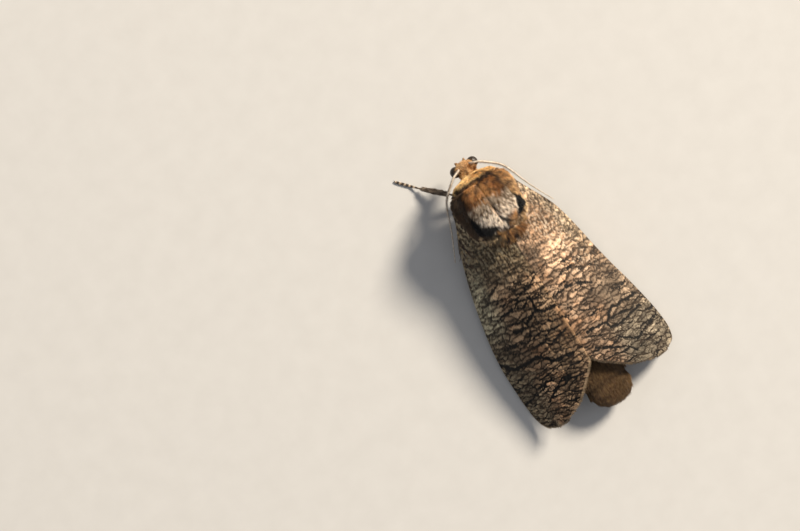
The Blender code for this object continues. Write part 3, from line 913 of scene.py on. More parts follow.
def body_marking(points, shares):
    """The colour of every point of the skin."""
    side, station, height = terms(points)
    speckle = layered_noise(side * 2.4, station * 2.4, height * 2.4, seed=21)
    colour = thorax_marking(side, station, height) * shares["thorax"][:, None]
    patches = layered_noise(side * 1.6, station * 1.6, height, seed=22)
    head = mix(FACE_BROWN, AMBER, 0.8 * ease(-0.1, 0.4, patches))
    head = mix(head, BARK_BROWN, 0.7 * ease(0.15, 0.6, speckle))
    head = mix(head, CREAM, 0.4 * ease(-0.1, -0.6, speckle))
    head = mix(head, BARK_BROWN, 0.6 * ease(6.5, 4.5, height))
    rings = (station - FIRST_RING) / RING_PITCH % 1.0
    fuzz = mix(FUZZ_GOLD, BARK_BROWN, 0.8 * ease(-0.1, 0.6, speckle))
    fuzz = mix(fuzz, DARK_BROWN, 0.45 * ease(0.25, 0.0, rings))
    leg = mix(LEG_BROWN, LEG_PALE, ease(-0.3, 0.5, speckle))
    colour += head * (shares["head"] + shares["palp"])[:, None] + fuzz * shares["abdomen"][:, None]
    for piece in ("coxa", "femur", "tibia"):
        colour += leg * shares[piece][:, None]
    colour += banded(points) * shares["tarsus"][:, None]
    return colour


def banded(points):
    """The feet's pale and dark bands, one of each to a joint."""
    colour = np.zeros((len(points), 3))
    nearest = np.full(len(points), np.inf)
    for leg in LEG_NAMES:
        start, end = LEG_AXES[f"{leg}_tarsus"]
        axis = end - start
        share = (points - start) @ axis / (axis @ axis)
        distance = np.linalg.norm(points - start - np.clip(share, 0, 1)[:, None] * axis, axis=1)
        closer = distance < nearest
        nearest = np.where(closer, distance, nearest)
        pale = ease(0.55, 0.75, share * 5 % 1.0)
        colour = np.where(closer[:, None], mix(FOOT_DARK, FOOT_PALE, pale), colour)
    return colour


# ---- the lie of the coat -------------------------------------------------------------------------------


def coat_direction(points, normals, shares):
    """Where the locks point: back over the body, out on the crown, down the face, along each leg."""
    side, station, height = terms(points)
    none = np.zeros_like(side)
    back = np.stack([0.05 * side, none + 1.0, none - 0.15], -1)
    part = hump(side - groove_side(station), 0.7) * band(3.2, 9.5, 0.6, station)
    back[:, 0] += 0.5 * part * np.sign(side - groove_side(station)) * shares["thorax"]
    facing = ease(0.55, 0.9, -normals[:, 1]) * ease(2.7, 2.9, station) * shares["thorax"]
    back += facing[:, None] * np.stack([0.8 * np.sign(side), none, none + 1.2], -1)
    crown = ease(6.6, 7.8, height)[:, None]
    fan = np.stack([0.55 * side, none - 0.9, none + 0.3], -1)
    face = np.stack([0.2 * side, none - 0.5, none - 1.0], -1)
    direction = back * (shares["thorax"] + shares["abdomen"])[:, None]
    direction += (fan * crown + face * (1 - crown)) * (shares["head"] + shares["palp"])[:, None]
    nearest = np.full(len(points), np.inf)
    along = np.zeros_like(points)
    for start, end in LEG_AXES.values():
        axis = end - start
        share = np.clip((points - start) @ axis / (axis @ axis), 0, 1)
        distance = np.linalg.norm(points - start - share[:, None] * axis, axis=1)
        along = np.where((distance < nearest)[:, None], unit(axis), along)
        nearest = np.minimum(distance, nearest)
    direction += along * sum(shares[piece] for piece in LEG_PIECES)[:, None]
    flat = direction - normals * (direction * normals).sum(1)[:, None]
    return unit(flat)


def flank_share(points, normals):
    """How much each point lies on the shoulders' outer side, where the coat stands out more."""
    station = terms(points)[1]
    return ease(0.35, 0.8, np.abs(normals[:, 0])) * band(2.0, 6.5, 0.8, station)


def coat_lift(points, normals, shares):
    """How steeply the locks stand, as the sine of their angle to the skin."""
    side, station, height = terms(points)
    crescent = 0
    for name, path in CRESCENTS.items():
        crescent = np.maximum(crescent, ease(0.4, -0.2, stroke_distance(side * SIDES[name], station, path)))
    lift = 0.26 * shares["thorax"] + 0.28 * shares["abdomen"] + 0.16 * shares["palp"]
    lift = lift + shares["head"] * (0.30 + 0.22 * ease(6.6, 7.8, height))
    lift = lift + 0.30 * sum(shares[piece] for piece in LEG_PIECES)
    raised = 0.16 * crescent + 0.22 * ease(10.2, 11.0, station) + 0.20 * flank_share(points, normals)
    return lift + shares["thorax"] * raised


def comb(mesh, shares):
    """Stores the coat's direction, length and width on the skin.

    Returns how far, and which way, the locks reach from their roots."""
    points, normals = points_of(mesh), normals_of(mesh)
    _, station, height = terms(points)
    lift = coat_lift(points, normals, shares)[:, None]
    lie = coat_direction(points, normals, shares)
    length = sum(shares[region] * HAIR_LENGTH[region] for region in REGIONS)
    width = sum(shares[region] * HAIR_WIDTH[region] for region in REGIONS)
    length = length * (1 + 0.25 * shares["head"] * ease(6.6, 7.8, height))
    length = length * (1 + 0.8 * ease(10.2, 11.6, station) * shares["thorax"])
    length = length * (1 + 0.25 * flank_share(points, normals) * shares["thorax"])
    length = length * (1 - 0.25 * ease(2.6, 2.2, station) * shares["thorax"])
    store(mesh, "coat_lie", lie * np.sqrt(1 - lift**2) + normals * lift, "FLOAT_VECTOR")
    store(mesh, "coat_length", length * MM)
    store(mesh, "coat_width", width * MM)
    return lie * (0.55 * length * MM)[:, None]


def bare_share(points):
    """Where no lock grows: on the eyes, and thinly along the groove of the back. 1 is fully bare."""
    side, station, _ = terms(points)
    bare = 0.75 * hump(side - groove_side(station), 0.13) * band(3.2, 9.5, 0.4, station)
    for name in SIDES:
        away = np.linalg.norm(points - np.array(middle(f"eye_{name}")), axis=1) / MM
        bare = np.maximum(bare, ease(EYE_RADIUS + 0.06, EYE_RADIUS + 0.01, away))
    return bare


def lift_off_floor(mesh):
    """Raises whatever would reach into the floor."""
    points = points_of(mesh)
    points[:, 2] = np.maximum(points[:, 2], FLOOR_GAP * MM)
    set_points(mesh, points)


def unwrap_skin(obj):
    """An unwrap of the skin's own shape, for the bake patches of its locks."""
    mesh = obj.data
    for other in bpy.context.selected_objects:
        other.select_set(False)
    obj.select_set(True)
    bpy.context.view_layer.objects.active = obj
    mesh.uv_layers.new(name="unwrap")
    bpy.ops.object.mode_set(mode="EDIT")
    bpy.ops.mesh.select_all(action="SELECT")
    bpy.ops.uv.smart_project(angle_limit=math.radians(66), island_margin=0.004)
    bpy.ops.object.mode_set(mode="OBJECT")


def build_body():
    """The skin and every coat that grows on it."""
    mesh, shares = build_skin_mesh()
    points = points_of(mesh)
    _, station, height = terms(points)
    reach = comb(mesh, shares)
    store(mesh, "marking", body_marking(points + reach, shares), "FLOAT_COLOR")
    skin = next(o for o in bpy.data.objects if o.data == mesh)
    unwrap_skin(skin)
    mesh = skin.data
    mesh.materials.append(marked_finish(
        "skin_scales", grain=2600.0, grain_depth=0.00006, contrast=0.35, roughness=0.85, sheen=0.15))
    finish = marked_finish(
        "hair_scales", grain=4200.0, grain_depth=0.00002, contrast=0.18, roughness=0.7, sheen=0.3, coat=True)
    hidden = band(14.0, 35.0, 1.0, station) * ease(5.5, 7.0, height) * shares["abdomen"]
    thorax, front = shares["thorax"], ease(6.3, 6.1, station)
    legs = sum(shares[piece] for piece in LEG_PIECES)
    coats = [  # (name, slot, where it grows, spacing, ruffle)
        ("coat_head", "head_scales", shares["head"] + shares["palp"], 0.044, 0.20),
        ("coat_front", "collar_scales", thorax * front, 0.056, 0.17),
        ("coat_back", "thorax_scales", thorax * (1 - front), 0.064, 0.13),
        ("coat_abdomen", "abdomen_scales", shares["abdomen"] * (1 - 0.93 * hidden), 0.095, 0.12),
        ("coat_legs", "leg_scales", legs, 0.075, 0.2),
    ]
    haired = 1 - bare_share(points)
    for number, (name, slot, share, spacing, ruffle) in enumerate(coats):
        share = np.where(share > 0.4, share, 0) * haired
        coat = grow_coat(
            name, mesh.copy(), share, HAIR, spacing, ruffle, tones=0.45,
            seed=COAT_SEED + number, material=finish)
        lift_off_floor(coat.data)
        dress(coat, slot)
    remove_attributes(mesh, COAT_NEEDS)
    dress(skin, "thorax_scales", *[node for nodes in REGIONS.values() for node in nodes])


# ---- claws and spurs -----------------------------------------------------------------------------------


def horn(bm, points, radius, sides=8):
    """Adds a curved, closed, pointed horn through points in metres."""
    rings = []
    for i, point in enumerate(points[:-1]):
        heading = (points[i + 1] - points[max(i - 1, 0)]).normalized()
        across = heading.cross(Vector((0.3, 0.2, 1))).normalized()
        up = across.cross(heading)
        girth = radius * (1 - i / (len(points) - 1)) ** 0.7
        turns = [2 * math.pi * k / sides for k in range(sides)]
        rim = [point + (across * math.cos(t) + up * math.sin(t)) * girth for t in turns]
        rings.append([bm.verts.new(p) for p in rim])
    tip = bm.verts.new(points[-1])
    bm.faces.new(rings[0])
    for near, far in zip(rings, rings[1:]):
        for k in range(sides):
            bm.faces.new((near[k], near[k - 1], far[k - 1], far[k]))
    for k in range(sides):
        bm.faces.new((rings[-1][k], rings[-1][k - 1], tip))


def bent_line(start, heading, bend, length, steps=7):
    """Points along an arc that leaves start under a heading and bends towards another direction."""
    points = [start.copy()]
    for step in range(steps):
        way = (heading + bend * (step / steps)).normalized()
        points.append(points[-1] + way * length / steps)
    return points


SPUR_PLACES = {"fore": (), "mid": (0.97,), "hind": (0.62, 0.97)}  # shares of the tibia's length
SPUR_LENGTH, SPUR_RADIUS = {-1: 0.85, 1: 1.15}, 0.11
CLAW_LENGTH, CLAW_RADIUS = 0.42, 0.06
UP = Vector((0, 0, 1))


def build_claws():
    """Two hooked claws at the end of each foot, and the paired spurs of the middle and hind tibiae."""
    claws, spurs = bmesh.new(), bmesh.new()
    for leg in LEG_NAMES:
        start, end = (Vector(p) for p in LEG_AXES[f"{leg}_tarsus"])
        heading = (end - start).normalized()
        across = heading.cross(UP).normalized()
        root = end - heading * 0.12 * MM + UP * 0.02 * MM
        for turn in (-1, 1):
            way = (heading + across * 0.55 * turn + UP * 0.35).normalized()
            horn(claws, bent_line(root, way, UP * -1.3, CLAW_LENGTH * MM), CLAW_RADIUS * MM)
        knee, ankle = (Vector(p) for p in LEG_AXES[f"{leg}_tibia"])
        shin = (ankle - knee).normalized()
        side = shin.cross(UP).normalized()
        for share in SPUR_PLACES[leg.split("_")[1]]:
            root = knee.lerp(ankle, share)
            for turn in (-1, 1):
                way = (shin + side * 0.45 * turn).normalized()
                horn(spurs, bent_line(root, way, shin * 0.4, SPUR_LENGTH[turn] * MM), SPUR_RADIUS * MM)
    horn_piece("claws", claws, claw_finish(), "eye")
    horn_piece("spurs", spurs, spur_finish(), "leg_scales")


def horn_piece(name, bm, finish, slot):
    """Makes a piece of the horns in a bmesh."""
    bmesh.ops.recalc_face_normals(bm, faces=bm.faces)
    mesh = bpy.data.meshes.new(name)
    bm.to_mesh(mesh)
    bm.free()
    lift_off_floor(mesh)
    mesh.shade_smooth()
    mesh.materials.append(finish)
    dress(new_object(name, mesh), slot)


# ---- eyes ----------------------------------------------------------------------------------------------


def build_eyes():
    """Each eye as a ball of some thousands of domed facets."""
    finish = eye_finish()
    for side in SIDES:
        bm = bmesh.new()
        bmesh.ops.create_icosphere(bm, subdivisions=5, radius=1.0)
        mesh = bpy.data.meshes.new(f"eyeball_{side}")
        bm.to_mesh(mesh)
        bm.free()
        facets = run_tree(f"eyeball_{side}", mesh, FACET_TREE, {"Dome": 0.012, "Finish": finish})
        points = points_of(facets.data)
        set_points(facets.data, points * EYE_RADIUS * MM * 0.99 + np.array(middle(f"eye_{side}")))
        facets.data.shade_smooth()
        dress(facets, "eye", f"eye_{side}")


def facet_tree():
    """Turns a ball's points into facets and domes each one."""
    tree = new_tree("facets")
    given = tree_inputs(tree, [("Ball", "Geometry"), ("Dome", "Float"), ("Finish", "Material")]).outputs
    dual = add_node(tree, "GeometryNodeDualMesh", {"Mesh": given["Ball"]})
    raised = add_node(tree, "GeometryNodeExtrudeMesh", {
        "Mesh": dual.outputs["Dual Mesh"], "Offset Scale": given["Dome"], "Individual": True}, mode="FACES")
    shrunk = add_node(tree, "GeometryNodeScaleElements", {
        "Geometry": raised.outputs["Mesh"], "Selection": raised.outputs["Top"],
        "Scale": 0.55}, domain="FACE")
    return finish_tree(tree, shrunk.outputs["Geometry"], given["Finish"])


# ---- wings ---------------------------------------------------------------------------------------------

# The folded wings make a roof. Its curves run through (station, millimetres) points.
RIDGE_SIDE = {"left": -0.12, "right": 0.02}  # the left wing laps over the right one
RIDGE_HEIGHT = ((5.0, 11.4), (12.5, 11.3), (20.0, 11.0), (28.0, 10.0), (34.5, 8.85), (40.0, 7.9))
COSTA_SIDE = {
    "left": ((4.6, 5.4), (6.0, 5.7), (8.0, 6.5), (10.0, 7.3), (12.0, 8.1), (16.0, 9.4), (20.7, 10.6),
             (24.6, 11.4), (28.5, 11.9), (33.7, 11.95), (40.0, 11.6)),
    "right": ((4.6, 5.4), (6.0, 5.85), (8.0, 6.85), (10.0, 7.9), (12.0, 8.8), (16.0, 9.8), (20.7, 10.6),
              (24.6, 11.35), (28.5, 12.2), (33.7, 13.1), (40.0, 13.6)),
}
COSTA_HEIGHT = ((4.6, 6.5), (8.0, 4.9), (12.0, 3.1), (16.0, 1.9), (22.0, 1.1), (28.0, 0.85), (40.0, 0.9))
ROOF_SHOULDER = (0.56, 0.07)  # where the roof bends down, as shares of its width and of its drop
SWEEP_FROM, SWEEP_TO = 12.0, 40.0
SWEEP = {"left": 0.7, "right": -0.45}  # how far the costa slips back at the end of the wing
# The wings' edges, as (station, share of the roof's width) points
FOREWING_INNER = ((5.0, 0.55), (8.5, 0.20), (13.0, 0.02), (20.0, 0.0), (27.0, 0.0), (32.6, 0.0),
                  (34.6, 0.04), (36.6, 0.19), (38.8, 0.40), (40.1, 0.66))
FOREWING_OUTER = ((4.7, 1.0), (8.5, 1.0), (13.0, 1.0), (20.0, 1.0), (27.0, 1.0), (32.0, 1.0), (35.0, 1.0),
                  (37.5, 0.99), (39.3, 0.93), (40.15, 0.79))
HINDWING_INNER = ((12.0, 0.35), (15.0, 0.08), (24.0, 0.04), (32.0, 0.04), (35.6, 0.08), (37.2, 0.26))
HINDWING_OUTER = ((12.0, 0.70), (16.5, 0.74), (24.0, 0.74), (31.0, 0.70), (35.2, 0.60), (37.2, 0.38))
FOREWING_DROP = {"left": 0.10, "right": 0.16}  # below the roof of the solids
HINDWING_DROP = 0.95
FOREWING_GRID, HINDWING_GRID = (360, 130), (90, 50)
WING_SHEET = 0.14  # thickness of the sheet
MAP_MARGIN, MAP_SPAN, MAP_WIDTH = 0.03, 0.94, 0.42  # where the wing's upper face lies on its map
THIN_EDGE = 0.06  # over which share of the wing it thins towards its edges

# The dark cracks that stand out, as (width, (station, side) points); the net between them is worked out
MAIN_CRACKS = {
    "left": (
        (0.55, ((28.2, 11.8), (30.0, 10.0), (29.9, 7.8), (29.8, 6.3), (31.8, 4.3), (32.0, 1.6))),
        (0.45, ((24.8, 5.2), (23.7, 3.0), (24.5, 2.0), (24.6, 0.0))),
        (0.35, ((23.7, 3.0), (22.5, 2.5), (21.5, 2.8))),
        (0.30, ((20.7, 6.6), (20.8, 4.5), (20.2, 2.0), (19.2, 0.0))),
        (0.35, ((21.8, 7.0), (22.1, 4.9), (22.4, 4.0), (21.7, 3.1))),
        (0.50, ((36.8, 8.6), (35.2, 6.1), (34.5, 5.1), (34.7, 3.7))),
        (0.40, ((35.6, 12.0), (35.0, 10.0), (34.4, 7.5))),
        (0.30, ((25.2, 5.1), (26.2, 2.0), (26.7, 0.0))),
        (0.30, ((22.0, 2.6), (22.1, 1.0), (22.5, 0.0))),
        (0.25, ((26.6, 10.2), (27.2, 6.0), (27.0, 4.0), (27.7, 1.7))),
        (0.30, ((33.1, 7.9), (32.7, 4.1))),
        (0.40, ((28.3, 4.8), (29.2, 3.6), (28.5, 0.8))),
    ),
    "right": (
        (0.50, ((23.5, 1.0), (23.2, 3.0), (23.8, 5.0), (25.0, 6.7))),
        (0.40, ((21.1, 3.4), (21.2, 4.4), (20.9, 5.3))),
        (0.30, ((21.6, 5.6), (21.9, 6.5))),
        (0.50, ((31.0, 5.5), (29.6, 7.0), (30.0, 8.0), (29.7, 9.0), (30.2, 10.0), (30.0, 11.5))),
        (0.50, ((30.7, 1.9), (31.0, 5.0), (32.1, 5.4), (32.4, 6.6), (32.0, 11.0))),
        (0.25, ((30.9, 0.7), (32.3, 3.6))),
        (0.45, ((33.5, 1.8), (34.5, 3.7), (34.1, 5.7), (35.7, 7.8), (34.8, 12.0))),
        (0.25, ((25.8, 1.3), (27.0, 2.1), (28.5, 4.9))),
        (0.35, ((27.6, 8.9), (28.0, 10.0), (27.8, 11.3))),
        (0.35, ((36.9, 11.6), (36.7, 9.7), (37.1, 6.9), (35.9, 6.0), (34.6, 3.5))),
    ),
}


def roof_point(side, station, share):
    """(side, height) on the folded wings' roof: share 0 is the ridge over the back and 1 is the costa."""
    half_width = through(COSTA_SIDE[side], station)
    top = through(RIDGE_HEIGHT, station)
    drop = top - through(COSTA_HEIGHT, station)
    weights = ((1 - share) ** 2, 2 * share * (1 - share), share**2)
    over = weights[0] * RIDGE_SIDE[side]
    over = over + weights[1] * ROOF_SHOULDER[0] * half_width + weights[2] * half_width
    height = weights[0] * top + weights[1] * (top - ROOF_SHOULDER[1] * drop) + weights[2] * (top - drop)
    return over, height


def wing_place(side, inner, outer, along, across, drop):
    """Side, station and height of the wing at shares of its length and width, a distance below the roof."""
    edges = []
    for edge in (inner, outer):
        steps = np.linspace(0, 1, len(edge))
        edges.append([through(list(zip(steps, [knot[axis] for knot in edge])), along) for axis in (0, 1)])
    station = edges[0][0] + (edges[1][0] - edges[0][0]) * across
    share = edges[0][1] + (edges[1][1] - edges[0][1]) * across
    over, height = roof_point(side, station, share)
    next_over, next_height = roof_point(side, station, share + 0.02)
    slope = np.hypot(next_over - over, next_height - height)
    over = over - drop * (height - next_height) / slope
    height = height - drop * (next_over - over) / np.maximum(slope, 1e-9)
    swept = SWEEP[side] * share * np.maximum(station - SWEEP_FROM, 0) / (SWEEP_TO - SWEEP_FROM)
    return SIDES[side] * over, station + swept, height


def grid_faces(columns, rows, start=0, flip=False):
    """The quads of a grid of points laid out column by column."""
    i, j = np.meshgrid(np.arange(columns - 1), np.arange(rows - 1), indexing="ij")
    a = (i * rows + j).ravel() + start
    faces = np.stack([a, a + rows, a + rows + 1, a + 1], 1)
    return faces[:, ::-1] if flip else faces


def rim_faces(columns, rows, below, flip=False):
    """The quads that join the edges of an upper and a lower grid."""
    ring = [i * rows for i in range(columns)] + [(columns - 1) * rows + j for j in range(1, rows)]
    ring += [i * rows + rows - 1 for i in range(columns - 2, -1, -1)] + list(range(rows - 2, 0, -1))
    ring = np.array(ring)
    following = np.roll(ring, -1)
    faces = np.stack([ring, ring + below, following + below, following], 1)
    return faces[:, ::-1] if flip else faces


def wing_sheet(name, side, shape, grid, drop, relief):
    """A closed thin sheet; relief(along, across, over, station) raises its upper face.

    Returns its mesh, its points' shares along and across the wing, and the places of its flat shape."""
    columns, rows = grid
    along, across = (g.ravel() for g in np.meshgrid(
        np.linspace(0, 1, columns), np.linspace(0, 1, rows), indexing="ij"))
    inner, outer = shape
    flat = wing_place(side, inner, outer, along, across, drop)
    raised = relief(along, across, flat[0], flat[1])
    upper = place(*wing_place(side, inner, outer, along, across, drop - raised))
    edge = np.minimum.reduce([across, 1 - across, along, 1 - along])
    thickness = WING_SHEET * (0.35 + 0.65 * ease(0, THIN_EDGE, edge))
    lower = place(*wing_place(side, inner, outer, along, across, drop + thickness))
    count = len(upper)
    left = side == "left"
    faces = np.concatenate([grid_faces(columns, rows, 0, not left), grid_faces(columns, rows, count, left),
                            rim_faces(columns, rows, count, not left)])
    return mesh_of(name, np.concatenate([upper, lower]), faces), along, across, flat


def wing_unwrap(mesh, along, across):
    """The wing's own map: its upper face in one half, its lower face in the other."""
    layer = mesh.uv_layers.new(name="unwrap")
    corners = np.empty(len(mesh.loops), np.int64)
    mesh.loops.foreach_get("vertex_index", corners)
    count = len(along)
    lower = corners >= count
    point = corners % count
    uv = np.stack([MAP_MARGIN + MAP_SPAN * along[point],
                   MAP_MARGIN + MAP_WIDTH * across[point] + 0.5 * lower], -1)
    layer.data.foreach_set("uv", uv.astype(np.float32).ravel())


def crack_net(station, reach, size, width, seed, spread):
    """A net of cracks between plates; the cracks that run across the wing are the widest.

    Returns its darkness, how far each point lies inside its plate, and the plate's number from 0 to 1.
    Spread from -1 to 1 is how many of the cracks show."""
    bend = 0.30 * soft_noise(station * 0.8, reach * 0.5, seed=seed + 1)
    jag = 0.15 * soft_noise(station * 1.7, reach * 1.7, seed=seed + 2)
    jag_fine = 0.05 * soft_noise(station * 6.0, reach * 6.0, seed=seed + 4)
    x, y = station + bend + jag + jag_fine, reach + bend - jag + jag_fine
    distance, across, own = plates(x, y, size, seed)
    swell = soft_noise(station * 0.9, reach * 0.4, seed=seed + 3)
    swell = swell + 0.5 * soft_noise(station * 2.5, reach * 1.2, seed=seed + 5)
    strength = np.clip(0.62 + 0.8 * swell + spread, 0, 1.5) * (0.12 + 0.88 * across**1.5)
    dark = ease(width * strength + 0.035, width * strength - 0.025, distance) * np.clip(strength * 2.5, 0, 1)
    return dark, distance, own


def wrinkles(station, reach, pitch, width, seed):
    """Wavy dark lines across the wing, about a pitch apart, that run into one another."""
    bend = 0.30 * soft_noise(station * 0.8, reach * 0.7, seed=seed)
    bend = bend + 0.10 * soft_noise(station * 3.1, reach * 3.1, seed=seed + 4)
    wave = soft_noise((station + bend) / pitch, reach / (3.4 * pitch), seed=seed + 1)
    wave += 0.4 * soft_noise((station + bend) / pitch * 2.1, reach / pitch * 0.8, seed=seed + 2)
    swell = np.clip(0.55 + 0.9 * soft_noise(station * 0.8, reach * 0.5, seed=seed + 3), 0.0, 1.3)
    return ease(width * swell + 1e-6, width * swell * 0.3, np.abs(wave)) * np.clip(3 * swell, 0, 1)


WING_SEED = {"left": 60, "right": 160}
SLANT = {"left": 0.06, "right": -0.02}  # how much the cracks slip forward towards the costa


def forewing_pattern(side, across, over, station):
    """What the forewing is made of, from 0 to 1 at every point: cracks, brown net, fine lines, plates."""
    seed = WING_SEED[side]
    reach = np.abs(over) * (1 + 0.25 * across)
    line = station + SLANT[side] * reach
    outer = ease(13.0, 21.0, station)
    tip = ease(24.0, 33.0, station)
    rim = ease(31.5, 34.5, station + 0.3 * reach * (side == "right"))
    costal = ease(0.70, 0.88, across)
    big, big_far, _ = crack_net(line, reach, (1.7, 5.2), 0.16, seed, -0.15)
    small, small_far, plate = crack_net(line, reach, (0.78, 2.3), 0.115, seed + 7, 0.30)
    tiny, _, grain = crack_net(line, reach, (0.33, 0.85), 0.06, seed + 14, 0.0)
    lines = wrinkles(line, reach, 0.62, 0.17, seed + 30)
    jag = 0.14 * soft_noise(station * 1.9, reach * 1.9, seed=seed + 20)
    jag_fine = 0.08 * soft_noise(station * 5.0, reach * 5.0, seed=seed + 21)
    swell = 0.85 + 0.5 * soft_noise(station * 1.6, reach * 1.6, seed=seed + 22)
    main = np.zeros_like(station)
    for width, path in MAIN_CRACKS[side]:
        distance = line_distance(station + jag + jag_fine, np.abs(over) + jag - jag_fine, path)
        main = np.maximum(main, ease(0.5 * width * swell + 0.03, 0.5 * width * swell - 0.03, distance))
    big = big * (0.1 + 0.9 * outer) * (1 - 0.5 * costal * (1 - tip))
    net = small * (0.12 + 0.88 * outer)
    crack = 1 - (1 - main) * (1 - big)
    deep = 1 - (1 - crack) * (1 - 0.9 * net) * (1 - 0.7 * tiny * rim) * (1 - 0.50 * lines * outer)
    fine = np.clip(0.30 * lines + 0.45 * tiny * (1 - 0.9 * outer), 0, 1)
    dome = np.sqrt(np.clip(np.minimum(small_far, big_far) / 0.24, 0, 1)) * (1 - 0.6 * deep)
    return {"crack": crack, "deep": deep, "fine": fine, "dome": dome, "plate": plate, "grain": grain}


# Broad lighter and darker clouds, partly the wing's own and partly painted light and shade (a painted sunlit
# patch by the left wing's ridge, painted shade along the costal edges), as (station, distance from the
# midline, length, width, strength)
CLOUDS_AND_PAINTED_LIGHT = {
    "left": (
        (12.5, 6.5, 3.2, 2.4, -0.50), (14.6, 3.3, 1.3, 1.3, 0.35), (20.8, 1.0, 2.6, 1.2, 0.85),
        (18.9, 5.2, 1.5, 1.6, 0.55), (21.0, 7.8, 2.5, 1.5, 0.30), (22.3, 4.2, 1.4, 2.2, -0.35),
        (25.2, 4.2, 1.6, 2.4, -0.50), (29.3, 0.6, 2.4, 1.6, -0.65), (29.8, 6.0, 1.6, 3.6, -0.32),
        (26.5, 10.0, 4.0, 1.4, -0.55), (34.2, 3.1, 3.6, 1.4, -0.58), (35.0, 7.4, 2.2, 1.4, 1.50),
        (34.0, 10.4, 3.6, 1.2, -0.40),
    ),
    "right": (
        (11.5, 5.5, 2.8, 4.0, -0.42), (17.5, 0.7, 5.5, 1.6, -0.55), (19.0, 5.0, 2.6, 1.5, 0.40),
        (25.2, 9.8, 3.4, 1.5, -0.55), (27.2, 6.4, 1.8, 3.2, -0.60), (29.5, 1.0, 3.0, 1.6, -0.42),
        (31.4, 5.4, 1.6, 1.6, -0.35), (33.5, 2.8, 3.2, 1.8, -0.50), (37.0, 6.0, 2.4, 3.4, -0.55),
        (32.5, 10.3, 2.4, 1.6, -0.50),
    ),
}


# The left forewing's tones are mostly darker than the right's: painted shade over the left wing.
WING_TONES_SHADED_LEFT = {
    "left": {"plain": (0.195, 0.128, 0.076), "warm": (0.165, 0.090, 0.047), "base": (0.125, 0.094, 0.050),
             "costa": (0.300, 0.280, 0.190), "tip": (0.180, 0.150, 0.095), "fleck": (0.38, 0.31, 0.20)},
    "right": {"plain": (0.310, 0.204, 0.130), "warm": (0.255, 0.142, 0.076), "base": (0.310, 0.185, 0.105),
              "costa": (0.260, 0.200, 0.130), "tip": (0.175, 0.145, 0.103), "fleck": (0.62, 0.48, 0.345),
              "outer": (0.170, 0.125, 0.084)},
}
WING_CONTRAST = {"left": 1.8, "right": 1.6}  # how strongly the plates' lightness shows, painted shading of their domes included
WING_DARK_FLECK, WING_LINE, WING_BELOW = (0.042, 0.023, 0.012), (0.44, 0.26, 0.13), (0.16, 0.12, 0.085)
CRACK_BROWN, CRACK_BLACK = (0.026, 0.0155, 0.009), (0.006, 0.005, 0.004)
FRINGE_DUN, HINDWING_BROWN, HINDWING_DUN = (0.30, 0.215, 0.13), (0.14, 0.10, 0.065), (0.22, 0.16, 0.10)


def clouding_and_painted_light(side, station, reach):
    """How much lighter or darker the forewing is than its plain colour: its own clouds, and painted light
    and shade.
    """
    tone = np.ones_like(station)
    for centre, middle_reach, length, width, strength in CLOUDS_AND_PAINTED_LIGHT[side]:
        away = ((station - centre) / length) ** 2 + ((reach - middle_reach) / width) ** 2
        tone = tone + strength * np.exp(-away)
    return np.maximum(tone, 0.3)


